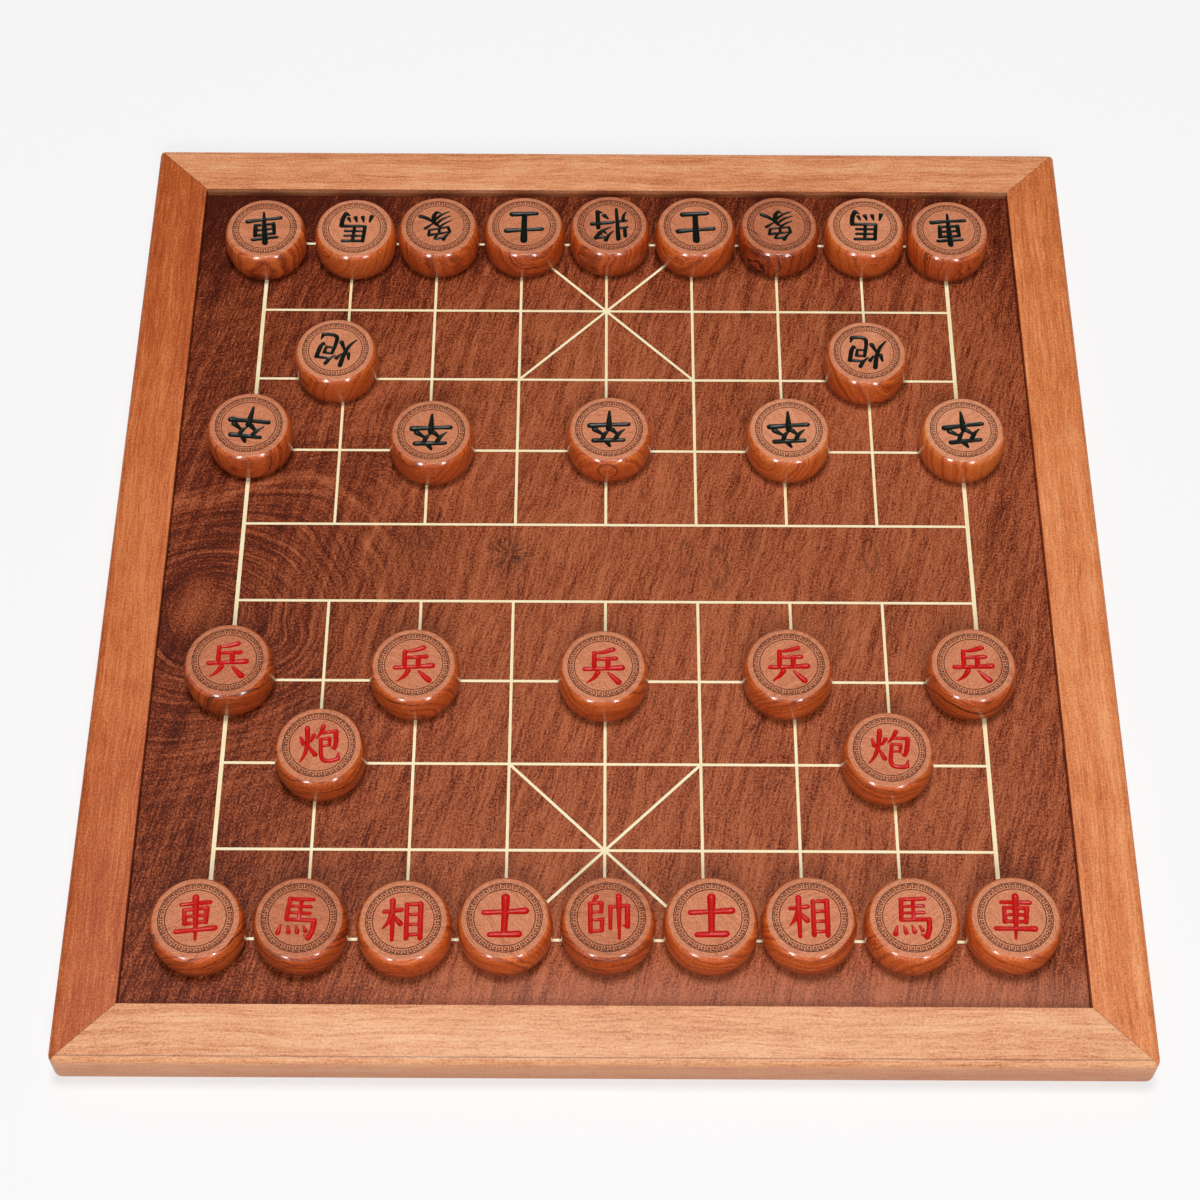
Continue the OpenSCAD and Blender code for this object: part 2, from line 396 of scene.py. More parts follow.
@dataclass(frozen=True)
class PanelWood:
    """The dark figured veneer: a knot on the left with arcs round it, and steep leaning streaks to the right.

    Places are in millimetres from the board's middle, with x to the right and y to the far side.
    """

    knot_x: float = -196.0
    knot_y: float = -32.0
    ring: float = 2.5
    widening: float = 60.0
    lean: float = 0.42
    round: float = 1.1
    tall: float = 0.5
    slope: float = 0.25
    eye_left: float = 203.0
    eye_near: float = 28.0
    eye_ring: float = 19.0
    arch_left: float = 157.0
    arch_up: float = 53.0
    check_left: float = 48.8
    check_up: float = 5.2
    # Each mark is its place, its half width and its half height
    loops: tuple[Mark, ...] = ((40.0, 2.7, 2.3, 10.0), (56.6, -2.0, 4.2, 11.5), (133.5, 6.0, 3.6, 9.0))
    smudges: tuple[Mark, ...] = (
        (75.0, 15.0, 4.0, 12.0), (-95.0, 14.0, 9.0, 14.0), (112.0, -38.0, 5.0, 16.0),
    )
    dark: Colour = srgb(66, 16, 2)
    deep: Colour = srgb(112, 42, 15)
    mid: Colour = srgb(156, 77, 42)
    light: Colour = srgb(190, 108, 69)
    # The pale veil that the painted reflection along the front mixes in
    pale: Colour = srgb(188, 138, 116)

    def material(self) -> bpy.types.Material:
        """Build the veneer's material.

        Returns:
            The material.
        """
        s = Shader("panel_veneer")
        x, y, _ = s.place()
        flat = s.join(x, y)
        drift = s.noise(flat, 1 / 55, 2.0) - 0.5
        wave = s.noise(flat, 1 / 13, 2.0) - 0.5
        # Growth counts the rings outward from the knot; far from it they straighten into leaning streaks
        up = y - self.knot_y
        far = x.band(-180.0, 20.0)
        shift = up * self.lean * (abs(up).band(20.0, 110.0) * (1.0 - far) + far)
        across = x - self.knot_x - shift + drift * 24.0 + wave * 3.0
        tall = self.round + (self.tall - self.round) * far
        away = (across * across + (up * tall) ** 2.0).maths("SQRT")
        growth = (away / self.widening + 1.0).maths("LOGARITHM", math.e) * (self.widening / self.ring)
        crown = ((x - 80.0) / 26.0) ** 2.0 + ((y + 140.0) / 52.0) ** 2.0
        growth = growth + crown.bell() * 7.0
        # Narrow dark lines of late wood round the knot, stronger in some bands than in others
        ripple = s.noise(flat, 1 / 4.0, 2.0) - 0.5
        line = ((growth + ripple * 0.7) * (2 * math.pi)).maths("SINE") * 0.5 + 0.5
        bands = s.grain(growth * 0.27, y * 0.004, 0.0, 3.0, 0.6)
        near = away.fade(25.0, 150.0)
        eye_reach = (x + self.eye_left) ** 2.0 + ((y + self.eye_near) * 0.8) ** 2.0
        from_eye = eye_reach.maths("SQRT") + wave * 9.0
        calm = from_eye.band(6.0, 24.0)
        late = line**2.0 * (0.25 + bands.band(0.38, 0.62) * 0.75) * near
        # Fibres follow the figure, with a finer set that leans the same way all over
        follow = s.grain(growth * 1.9, y * 0.03, x * 0.012, 4.0, 0.62)
        arcs = s.grain(growth * 3.6, x * 0.05, y * 0.05, 3.0, 0.62)
        lean = x - y * self.slope + drift * 9.0 + wave * 1.2
        fine = s.grain(lean * 0.62, y * 0.028, 0.0, 4.0, 0.65)
        hair = s.grain(lean * 1.5, y * 0.13, 0.0, 3.0, 0.65)
        wide = s.grain(lean * 0.2, y * 0.014, 3.0)
        grit = s.noise(flat, 0.95, 2.0, 0.6)
        open_field = 1.0 - near * 0.8
        tone = 0.5 + follow.swing(0.5 + near * 0.45) * calm + fine.swing(open_field) * 0.95
        tone = tone + hair.swing(open_field) * 1.35 + wide.swing(0.7) + grit.swing(1.7)
        tone = tone + arcs.swing(near) * calm * 1.1
        tone = tone + bands.swing(0.15 + near * 0.6) * calm - late * calm * 0.18
        # The board is darkest at the left and the back, and palest along the front, where painted reflection
        # of the lamps lightens the wood and veils it in a pale colour
        ground = x.band(-225.0, -20.0) * 0.29 - 0.21 + (0.0 - y).band(-245.0, -130.0) * 0.36 - 0.33
        ground = ground - x.band(165.0, 215.0) * 0.11
        front = y.fade(-236.0, -214.0) * x.band(-150.0, -20.0)
        tone = tone + ground + front * 0.07 + self._light_bands(x, y, wave, from_eye)
        stops = [(0.0, self.dark), (0.3, self.deep), (0.55, self.mid), (0.95, self.light)]
        # Painted reflection: a pale veil mixed into the wood along the front strip
        colour = s.mix(front * 0.2, s.ramp(tone.clamped(), stops), self.pale)
        # Short dark pores along the grain
        pore = s.grain(lean * 1.9, y * 0.16, 7.0, 1.0, 0.4).band(0.62, 0.72)
        colour = s.shade(colour, (1.0 - pore * 0.26) * (1.0 - self._figures(s, x, y, wave) * 0.62))
        relief = fine * 0.5 + hair * 0.35 - pore * 0.9
        rough = 0.42 + hair * 0.14 + pore * 0.1
        return s.surface(colour, rough, s.bump(relief, 0.05 * MM, 0.6), specular_ior_level=0.15)

    def _light_bands(self, x: Field, y: Field, wave: Field, from_eye: Field) -> Field:
        """Give the pale arch over the knot, the slanting streak at mid river and the dark round the knot.

        Args:
            x: Place across the board in millimetres.
            y: Place up the board.
            wave: Soft noise that keeps the bands from being even.
            from_eye: Distance from the knot's middle.

        Returns:
            What they add to the wood's tone.
        """
        rise = (-self.arch_left - x).band(0.0, 55.0) * 18.0
        fall = (x + self.arch_left).maths("MAXIMUM", 0.0) ** 2.0 * 0.019
        crest = self.arch_up - rise - fall
        arch = (y - crest + wave * 5.0).peak(0.8, 4.2) * x.fade(-122.0, -100.0)
        slant = (x - y * self.slope + wave * 6.0).peak(0.5, 2.4) * y.peak(26.0, 46.0)
        eye = from_eye.fade(3.0, 14.0) * 0.14 - (from_eye - self.eye_ring).peak(2.0, 8.0) * 0.11
        return arch * 0.24 + slant * 0.15 + eye

    def _figures(self, s: Shader, x: Field, y: Field, wave: Field) -> Field:
        """Give the small dark marks along the river: a star-shaped check, slender loops and smudges.

        Args:
            s: The material.
            x: Place across the board in millimetres.
            y: Place up the board.
            wave: Soft noise that bends them.

        Returns:
            How dark they are, 0 to 1.
        """
        dx, dy = x + self.check_left, y - self.check_up
        reach = (dx * dx + dy * dy).maths("SQRT") + 0.5
        spokes = s.grain(dx / reach * 2.6, dy / reach * 2.6, reach * 0.03, 1.0)
        star = (spokes - 0.5).peak(0.0, 0.10) * reach.fade(5.0, 16.0)
        total = star + reach.fade(0.0, 11.0) * 0.25
        for at_x, at_y, wide, high in self.loops:
            out = (((x - at_x + wave * 4.0) / wide) ** 2.0 + ((y - at_y) / high) ** 2.0).maths("SQRT")
            total = total + (out - 1.0).peak(0.05, 0.30) * 0.5
        for at_x, at_y, wide, high in self.smudges:
            out = ((x - at_x) / wide) ** 2.0 + ((y - at_y) / high) ** 2.0
            total = total + out.bell() * 0.3
        return total.clamped()


@dataclass(frozen=True)
class RailWood:
    """A satin oiled rail with straight grain along it, its bands in millimetres over the table or inward."""

    name: str
    dark: Colour
    mid: Colour
    light: Colour
    along_x: bool = True
    seed: float = 0.0
    rise: float = 0.0
    # How dark the painted shade of the uncut quirk under the bead is
    quirk_shade: float = 0.1
    middle: float = 0.0
    reach: float = 270.0
    # Bands in millimetres where shade is painted: under the bead, on the inner wall below the arris, at the
    # foot and on the upright faces
    bead: tuple[float, float] = (21.2, 21.9)
    inner_shade_band: tuple[float, float] = (24.6, 25.4)
    arris: tuple[float, float] = (18.2, 19.8)
    foot_shade_band: tuple[float, float] = (3.0, 17.0)
    upright_shade_band: tuple[float, float] = (16.0, 21.0)

    def material(self) -> bpy.types.Material:
        """Build the rail's material.

        Returns:
            The material.
        """
        s = Shader(self.name)
        x, y, z = s.place()
        along, across = (x, y) if self.along_x else (y, x)
        deep = z + self.seed
        wander = s.grain(along * 0.012, across * 0.03, deep * 0.03) - 0.5
        over = across + wander * 9.0
        wide = s.grain(along * 0.006, over * 0.13, deep * 0.13, 3.0, 0.55)
        streak = s.grain(along * 0.03, over * 0.8, deep * 0.8, 3.0, 0.6)
        fibre = s.grain(along * 0.1, over * 1.8, deep * 1.8, 3.0, 0.6)
        cloud = s.grain(along * 0.05, across * 0.05, deep * 0.05)
        fleck = s.grain(along * 0.34, over * 1.3, deep * 1.3, 1.0, 0.4).band(0.57, 0.70)
        grit = s.noise(s.join(x, y, z), 0.95, 2.0, 0.6)
        tone = 0.5 + wide.swing(0.6) + streak.swing(0.7) + fibre.swing(0.8) + cloud.swing(0.3)
        tone = tone + grit.swing(0.9)
        if self.rise:
            tone = tone - along / self.reach * self.rise
        tone = tone + along.peak(20.0, 190.0) * self.middle
        colour = s.ramp(tone.clamped(), [(0.12, self.dark), (0.5, self.mid), (0.88, self.light)])
        # The glue line where two rails meet, and painted shade: a dark line under the bead for a quirk that
        # is not cut, the inner wall under the arris, the foot and the upright faces
        glue = (abs(x) - abs(y) - (RailFrame.half_x - RailFrame.half_y) / MM).peak(0.1, 0.4)
        edge = (RailFrame.half_y if self.along_x else RailFrame.half_x) / MM - abs(across)
        quirk_shade = (edge - RailFrame.edge_r / MM - 0.3).peak(0.15, 0.55) * z.band(*self.bead)
        inner = edge.band(*self.inner_shade_band) * z.fade(*self.arris)
        lines = 1.0 - glue * 0.4 - quirk_shade * self.quirk_shade
        low = 1.0 - z.fade(*self.foot_shade_band) * 0.22
        colour = s.shade(colour, (1.0 - fleck * 0.14) * lines * low * (1.0 - inner * 0.5))
        # Painted shade: the upright faces below the top are mixed toward the dark tone
        colour = s.mix(z.fade(*self.upright_shade_band) * 0.46, colour, self.dark)
        relief = fibre * 0.6 - fleck * 0.8
        rough = 0.36 + fibre * 0.12 + fleck * 0.1
        return s.surface(colour, rough, s.bump(relief, 0.045 * MM, 0.6), specular_ior_level=0.34)


@dataclass(frozen=True)
class StripWood:
    """A plain close-grained wood for strips, keys, core and backing."""

    name: str
    dark: Colour
    light: Colour
    along_x: bool = True
    fine: float = 1.0
    rough: float = 0.5

    def material(self) -> bpy.types.Material:
        """Build the wood's material.

        Returns:
            The material.
        """
        s = Shader(self.name)
        x, y, z = s.place()
        along, across = (x, y) if self.along_x else (y, x)
        long, thin = 0.08 * self.fine, 1.6 * self.fine
        fibre = s.grain(along * long, across * thin, z * thin, 3.0, 0.6)
        cloud = s.grain(x * 0.06, y * 0.06, z * 0.06)
        tone = (0.5 + fibre.swing(1.1) + cloud.swing(0.8)).clamped()
        colour = s.ramp(tone, [(0.15, self.dark), (0.85, self.light)])
        normal = s.bump(fibre, 0.03 * MM, 0.6)
        return s.surface(colour, self.rough + fibre * 0.1, normal, specular_ior_level=0.4)


@dataclass(frozen=True)
class PieceWood:
    """The turned pieces' red hardwood, read in each piece's own block of wood."""

    name: str
    dark: Colour
    mid: Colour
    light: Colour
    rough: float
    streak: float
    relief: float
    coat: float = 0.0
    level: float = 0.2
    mottle: float = 0.4
    vein: float = 0.75
    # How much painted shade darkens the lower side toward the foot
    foot: float = 0.0
    lower_side_shade_band: tuple[float, float] = (16.5, 26.0)
    coat_rough: float = 0.17

    def material(self) -> bpy.types.Material:
        """Build the wood's material.

        Returns:
            The material.
        """
        s = Shader(self.name)
        grain = s.in_mm(s.attribute("grain", "Vector"))
        tint = s.attribute("tint", "Fac")
        figure = s.attribute("figure", "Fac")
        along, across, deep = s.split(grain)
        warp = s.noise(grain, 0.09, 2.0) - 0.5
        over = across + warp * 5.0
        under = deep + warp * 3.0
        heart = (over * over + under * under * 0.5).maths("SQRT")
        rings = s.grain(heart * 0.62, along * 0.012, 0.0, 3.0, 0.6)
        fibre = s.grain(along * 0.16, over * 2.2, under * 2.2, 3.0, 0.6)
        pore = s.grain(along * 0.3, over * 3.0, under * 3.0, 1.0, 0.4).band(0.62, 0.72)
        speckle = s.noise(grain, 1.7, 3.0, 0.65)
        vein = rings.band(0.53, 0.66) * figure
        tone = 0.5 + rings.swing(self.streak) + fibre.swing(self.streak * 0.7 + 0.2)
        tone = tone + speckle.swing(self.mottle) + (tint - 0.5) - vein * self.vein
        colour = s.ramp(tone.clamped(), [(0.08, self.dark), (0.5, self.mid), (0.9, self.light)])
        # A ring round a small knot, and painted shade that darkens the lower side toward the foot
        ring = (s.attribute("knot", "Fac") - 1.0).peak(0.04, 0.17)
        foot = s.place()[2].fade(*self.lower_side_shade_band)
        colour = s.shade(colour, (1.0 - pore * 0.26) * (1.0 - ring * 0.58) * (1.0 - foot * self.foot))
        relief = speckle * 0.7 + fibre * 0.3 - pore * 0.6
        normal = s.bump(relief, self.relief * MM, 0.7)
        coat = {"coat_weight": self.coat, "coat_roughness": self.coat_rough}
        rough = self.rough + speckle * 0.12
        return s.surface(colour, rough, normal, specular_ior_level=self.level, **coat)


@dataclass(frozen=True)
class Paint:
    """Glossy brushed paint in the carved signs."""

    name: str
    deep: Colour
    bright: Colour

    def material(self) -> bpy.types.Material:
        """Build the paint's material.

        Returns:
            The material.
        """
        s = Shader(self.name)
        grain = s.in_mm(s.attribute("grain", "Vector"))
        cloud = s.noise(grain, 0.9, 3.0, 0.6)
        fine = s.noise(grain, 3.2, 2.0, 0.6)
        colour = s.mix((cloud * 1.5 - 0.25).clamped(), self.deep, self.bright)
        normal = s.bump(cloud * 0.6 + fine * 0.4, 0.09 * MM, 0.8)
        gloss = {"coat_weight": 0.12, "coat_roughness": 0.16, "specular_ior_level": 0.16}
        return s.surface(colour, 0.36 + fine * 0.16, normal, **gloss)


@dataclass(frozen=True)
class Rubber:
    """Matt moulded rubber."""

    name: str = "pad_rubber"
    colour: Colour = srgb(46, 43, 41)

    def material(self) -> bpy.types.Material:
        """Build the rubber's material.

        Returns:
            The material.
        """
        s = Shader(self.name)
        x, y, z = s.place()
        grit = s.noise(s.join(x, y, z), 2.2, 3.0, 0.6)
        colour = s.shade(self.colour, 0.8 + grit * 0.4)
        return s.surface(colour, 0.7 + grit * 0.15, s.bump(grit, 0.04 * MM, 0.7))


def near(value: float, target: float, slack: float = 1e-5) -> bool:
    """Say whether two lengths are the same."""
    return abs(value - target) < slack


class Workbench:
    """Short forms of the editing steps that the pieces are made with."""

    @staticmethod
    def clear() -> None:
        """Leave edit mode and select nothing."""
        if bpy.context.object and bpy.context.object.mode != "OBJECT":
            bpy.ops.object.mode_set(mode="OBJECT")
        bpy.ops.object.select_all(action="DESELECT")

    @classmethod
    def only(cls, piece: bpy.types.Object) -> None:
        """Make one object the selected and active one.

        Args:
            piece: The object.
        """
        cls.clear()
        piece.select_set(True)
        bpy.context.view_layer.objects.active = piece

    @classmethod
    def settle(cls, piece: bpy.types.Object) -> None:
        """Move an object's place, turn and scale into its mesh."""
        cls.only(piece)
        bpy.ops.object.transform_apply(location=True, rotation=True, scale=True)

    @classmethod
    def cube(cls, name: str, low: Point, high: Point) -> bpy.types.Object:
        """Add a block.

        Args:
            name: The object's name.
            low: Its lowest corner.
            high: Its highest corner.

        Returns:
            The block, with its size and place in its mesh.
        """
        cls.clear()
        bpy.ops.mesh.primitive_cube_add(size=1, location=[(a + b) / 2 for a, b in zip(low, high)])
        block = bpy.context.object
        block.name = name
        block.scale = [b - a for a, b in zip(low, high)]
        cls.settle(block)
        return block

    @staticmethod
    def copy(source: bpy.types.Object) -> bpy.types.Object:
        """Copy an object together with its mesh.

        Args:
            source: The object.

        Returns:
            Its copy.
        """
        made = source.copy()
        made.data = source.data.copy()
        bpy.context.scene.collection.objects.link(made)
        return made

    @classmethod
    @contextmanager
    def editing(
        cls, piece: bpy.types.Object, edges: Test | None = None, faces: Test | None = None
    ) -> Iterator[None]:
        """Hold a piece in edit mode, with all of it selected or only the edges or faces that pass a test.

        Args:
            piece: The object.
            edges: Says whether the edge between two points is wanted.
            faces: Says whether the face with this middle and normal is wanted.

        Yields:
            Nothing: the edit mode ends with the block.
        """
        cls.only(piece)
        bpy.ops.object.mode_set(mode="EDIT")
        if edges or faces:
            bpy.ops.mesh.select_mode(type="EDGE" if edges else "FACE")
            bpy.ops.mesh.select_all(action="DESELECT")
            bpy.ops.object.mode_set(mode="OBJECT")
            mesh = piece.data
            for edge in mesh.edges if edges else ():
                edge.select = edges(*(mesh.vertices[i].co for i in edge.vertices))
            for face in mesh.polygons if faces else ():
                face.select = faces(face.center, face.normal)
            bpy.ops.object.mode_set(mode="EDIT")
        else:
            bpy.ops.mesh.select_all(action="SELECT")
        yield
        bpy.ops.object.mode_set(mode="OBJECT")

    @classmethod
    def tidy(cls, piece: bpy.types.Object, gap: float) -> None:
        """Merge points that nearly touch and turn all faces outward.

        Args:
            piece: The object.
            gap: The distance within which points are merged.
        """
        with cls.editing(piece):
            bpy.ops.mesh.remove_doubles(threshold=gap)
            bpy.ops.mesh.normals_make_consistent(inside=False)

    @classmethod
    def cut(cls, piece: bpy.types.Object, cutter: bpy.types.Object, keep_finish: bool = False) -> None:
        """Cut a piece by another object, which is then gone.

        Args:
            piece: The object that stays.
            cutter: The object that is taken away from it.
            keep_finish: Whether cut faces take the cutter's material.
        """
        cls.only(piece)
        modifier = piece.modifiers.new("cut", "BOOLEAN")
        modifier.operation = "DIFFERENCE"
        modifier.solver = "EXACT"
        modifier.use_self = keep_finish
        modifier.material_mode = "TRANSFER" if keep_finish else "INDEX"
        modifier.object = cutter
        bpy.ops.object.modifier_apply(modifier=modifier.name)
        bpy.data.objects.remove(cutter)

    @classmethod
    def smooth(cls, piece: bpy.types.Object, degrees: float) -> None:
        """Shade a piece smooth up to an angle between its faces."""
        cls.only(piece)
        bpy.ops.object.shade_smooth_by_angle(angle=math.radians(degrees))


@dataclass
class RailFrame:
    """The four mitred rails, with round edges, a groove for the panel's tongue and slots for the splines."""

    half_x: float = 249 * MM
    half_y: float = 269.5 * MM
    width: float = 28 * MM
    foot: float = 2 * MM
    top: float = 22 * MM
    edge_r: float = 2.7 * MM
    inner_r: float = 2.6 * MM
    round_steps: int = 8
    groove_low: float = 7.6 * MM
    groove_high: float = 13.8 * MM
    groove_depth: float = 6.5 * MM
    spline_half: float = 6.1 * MM
    spline_low: float = 10.4 * MM
    spline_high: float = 13.6 * MM
    spline_in: float = 17.0 * MM
    joint_gap: float = 0.05 * MM
    smooth_below: float = 24.0
    # Plan radii of the upright corners, front left first and then round; 0 is rounded together with the top
    corner_r: tuple[float, float, float, float] = (4.2 * MM, 4.2 * MM, 0.0, 0.0)

    def rail(self, edge: Edge, finish: bpy.types.Material) -> bpy.types.Object:
        """Make one rail.

        Args:
            edge: Which rail.
            finish: Its material.

        Returns:
            The rail in its place.
        """
        across = edge in (Edge.FRONT, Edge.BACK)
        half_l, half_w = (self.half_x, self.half_y) if across else (self.half_y, self.half_x)
        low, high = (-half_l, -half_w, self.foot), (half_l, -half_w + self.width, self.top)
        bar = Workbench.cube(f"{edge.name.lower()}_rail_moulding", low, high)
        self._round_edges(bar, half_l, -half_w, edge)
        self._cut_groove(bar, -half_w + self.width)
        self._mitre(bar, half_l, half_w)
        self._slot_splines(bar, half_l, half_w)
        bar.rotation_euler = Euler((0, 0, edge.value * math.pi / 2))
        Workbench.settle(bar)
        bar.data.materials.clear()
        bar.data.materials.append(finish)
        Workbench.smooth(bar, self.smooth_below)
        return bar

    def _round_edges(self, bar: bpy.types.Object, half_l: float, outer: float, edge: Edge) -> None:
        """Round the front upright corners, then the other outer edges together, then the inner top edge.

        Args:
            bar: The rail's bar, which lies along x.
            half_l: Half its length.
            outer: Where its outer face is.
            edge: Which rail it is.
        """
        inner = outer + self.width

        def upright(a: Vector, b: Vector, signs: tuple[int, ...] = (-1, 1)) -> bool:
            """Say whether an edge is an outer upright one at one of these ends."""
            return any(all(near(p.x, sign * half_l) and near(p.y, outer) for p in (a, b)) for sign in signs)

        def around(a: Vector, b: Vector, height: float) -> bool:
            """Say whether an edge runs round the ends and the outer side at a height."""
            return near(a.z, height) and near(b.z, height) and not (near(a.y, inner) and near(b.y, inner))

        rounds: list[tuple[Test, float]] = []
        for sign, step in ((-1, 0), (1, 1)):
            radius = self.corner_r[(edge.value + step) % len(self.corner_r)]
            if radius:
                rounds.append((lambda a, b, s=sign: upright(a, b, (s,)), radius))
        rounds += [
            (lambda a, b: upright(a, b) or around(a, b, self.top) or around(a, b, self.foot), self.edge_r),
            (lambda a, b: all(near(p.y, inner) and near(p.z, self.top) for p in (a, b)), self.inner_r),
        ]
        for test, radius in rounds:
            with Workbench.editing(bar, edges=test):
                bpy.ops.mesh.bevel(offset=radius, segments=self.round_steps, affect="EDGES", profile=0.5)

    def _cut_groove(self, bar: bpy.types.Object, inner: float) -> None:
        """Sink the tongue's groove into the rail's inner face.

        Args:
            bar: The rail's bar.
            inner: Where its inner face is.
        """
        for height in (self.groove_low, self.groove_high):
            with Workbench.editing(bar):
                bpy.ops.mesh.bisect(plane_co=(0, 0, height), plane_no=(0, 0, 1))
        middle = (self.groove_low + self.groove_high) / 2
        with Workbench.editing(bar, faces=lambda at, n: near(at.y, inner) and near(at.z, middle, 0.1 * MM)):
            bpy.ops.mesh.extrude_region_move(TRANSFORM_OT_translate={"value": (0, -self.groove_depth, 0)})

    def _mitre(self, bar: bpy.types.Object, half_l: float, half_w: float) -> None:
        """Saw both ends at 45 degrees.

        Args:
            bar: The rail's bar.
            half_l: Half its length.
            half_w: How far its outer face is from the board's middle.
        """
        corner = half_l - self.joint_gap * math.sqrt(2)
        for sign in (-1, 1):
            place, way = (sign * corner, -half_w, 0), (sign * 1.0, 1.0, 0)
            with Workbench.editing(bar):
                bpy.ops.mesh.bisect(plane_co=place, plane_no=way, use_fill=True, clear_outer=True)

    def _slot_splines(self, bar: bpy.types.Object, half_l: float, half_w: float) -> None:
        """Cut the slots that take the loose keys across both mitres.

        Args:
            bar: The mitred rail.
            half_l: Half its length.
            half_w: How far its outer face is from the board's middle.
        """
        half = self.spline_half
        for sign in (-1, 1):
            key = Workbench.cube("key", (-half, -half, self.spline_low), (half, half, self.spline_high))
            key.rotation_euler = Euler((0, 0, math.pi / 4))
            key.location = (sign * (half_l - self.spline_in), -half_w + self.spline_in, 0)
            bpy.context.view_layer.update()
            Workbench.cut(bar, key)


# One stroke is a run of (x, y, half width) in millimetres, with the sign upright and its middle at 0, 0
Stroke = tuple[Point, ...]

CHARIOT: tuple[Stroke, ...] = (
    ((-6.4, 7.0, 0.8), (6.4, 7.6, 1.0)),
    ((-5.2, 4.4, 0.8), (-4.8, -2.6, 1.0)),
    ((-5.2, 4.3, 0.8), (5.2, 4.8, 0.9)),
    ((5.2, 4.8, 1.0), (4.7, -2.4, 0.9)),
    ((-4.8, 0.9, 0.7), (4.8, 1.3, 0.8)),
    ((-4.8, -2.5, 0.8), (4.7, -2.1, 0.8)),
    ((-8.8, -6.3, 1.0), (0.0, -5.9, 0.9), (8.8, -5.3, 1.2)),
    ((0.0, 10.4, 1.3), (0.1, 0.0, 1.1), (0.0, -10.8, 0.5)),
)
HORSE: tuple[Stroke, ...] = (
    ((-5.4, 9.4, 1.0), (-5.8, -1.2, 1.0)),
    ((-5.4, 9.2, 0.9), (5.6, 9.8, 1.0)),
    ((-5.4, 5.6, 0.7), (4.8, 6.0, 0.9)),
    ((-5.4, 2.2, 0.7), (4.8, 2.6, 0.9)),
    ((0.2, 9.2, 0.9), (0.0, -1.2, 0.9)),
    ((-5.8, -1.4, 0.9), (7.4, -0.8, 1.1)),
    ((7.4, -0.9, 1.2), (7.2, -5.8, 1.2), (5.8, -10.0, 1.2)),
    ((5.8, -10.0, 1.2), (3.4, -8.6, 0.4)),
    ((-8.0, -4.6, 0.5), (-8.8, -8.6, 1.2)),
    ((-4.6, -4.6, 0.5), (-3.8, -7.8, 1.1)),
    ((-0.8, -4.4, 0.5), (0.2, -7.4, 1.1)),
    ((2.8, -4.2, 0.5), (4.0, -6.6, 1.0)),
)
MINISTER: tuple[Stroke, ...] = (
    ((-9.2, 4.4, 0.9), (-1.0, 5.4, 1.0)),
    ((-5.2, 10.2, 1.2), (-5.2, -10.2, 0.8)),
    ((-5.4, 3.6, 1.1), (-7.0, -0.8, 0.9), (-9.6, -4.2, 0.4)),
    ((-4.8, 2.2, 0.7), (-1.4, -1.8, 1.2)),
    ((1.6, 8.2, 0.9), (1.5, -9.4, 1.0)),
    ((1.6, 8.0, 0.8), (8.2, 8.4, 1.0)),
    ((8.2, 8.4, 1.1), (8.1, -9.6, 1.0)),
    ((1.8, 2.8, 0.7), (8.0, 3.1, 0.8)),
    ((1.8, -2.4, 0.7), (8.0, -2.1, 0.8)),
    ((1.8, -7.7, 0.8), (8.0, -7.4, 0.8)),
)
ADVISOR: tuple[Stroke, ...] = (
    ((-9.4, 2.3, 1.1), (0.0, 2.9, 1.0), (9.4, 3.6, 1.4)),
    ((0.1, 10.2, 1.6), (0.1, 0.0, 1.3), (0.0, -8.0, 1.2)),
    ((-6.4, -8.6, 1.1), (6.6, -8.0, 1.4)),
)
MARSHAL: tuple[Stroke, ...] = (
    ((-5.2, 10.2, 1.1), (-7.0, 7.2, 0.5)),
    ((-8.0, 7.0, 1.0), (-8.0, -7.2, 1.0)),
    ((-8.0, 6.9, 0.8), (-2.8, 7.3, 0.9)),
    ((-2.8, 7.2, 1.0), (-3.0, 2.6, 0.8)),
    ((-7.8, 2.4, 0.7), (-2.9, 2.7, 0.8)),
    ((-7.8, -1.4, 0.7), (-2.6, -1.1, 0.9)),
    ((-2.6, -1.1, 1.0), (-2.8, -6.8, 0.8)),
    ((-7.8, -7.1, 0.8), (-2.8, -6.7, 0.8)),
    ((1.2, 5.2, 1.0), (1.0, -5.8, 0.8)),
    ((1.2, 5.0, 0.8), (9.0, 5.6, 1.0)),
    ((9.0, 5.5, 1.1), (8.8, -4.8, 1.1)),
    ((8.8, -4.8, 1.1), (6.8, -4.2, 0.4)),
    ((5.1, 10.4, 1.3), (5.0, -10.8, 0.6)),
)
CANNON: tuple[Stroke, ...] = (
    ((-8.8, 4.8, 0.6), (-7.6, 1.2, 1.1)),
    ((-2.2, 5.4, 1.1), (-3.8, 2.2, 0.5)),
    ((-5.4, 9.8, 1.2), (-5.5, 2.0, 1.1), (-6.8, -4.2, 0.9), (-9.4, -8.8, 0.4)),
    ((-5.4, -0.2, 0.6), (-2.0, -5.4, 1.2)),
    ((2.6, 10.2, 1.1), (1.2, 6.6, 0.9), (-1.0, 3.6, 0.4)),
    ((1.4, 6.5, 0.8), (8.6, 7.0, 1.0)),
    ((8.6, 7.0, 1.1), (8.4, 0.6, 1.1), (7.6, -2.6, 0.9)),
    ((7.6, -2.6, 0.9), (6.2, -1.8, 0.4)),
    ((1.1, 3.0, 0.7), (5.4, 3.2, 0.9)),
    ((5.4, 3.2, 0.9), (5.2, -0.8, 0.7)),
    ((1.2, -1.0, 0.7), (5.2, -0.7, 0.7)),
    ((1.0, 3.0, 0.9), (0.9, -5.8, 1.0), (2.2, -8.8, 1.1), (5.6, -9.3, 1.1), (9.0, -8.6, 1.1)),
    ((9.0, -8.6, 1.1), (9.4, -5.2, 0.4)),
)
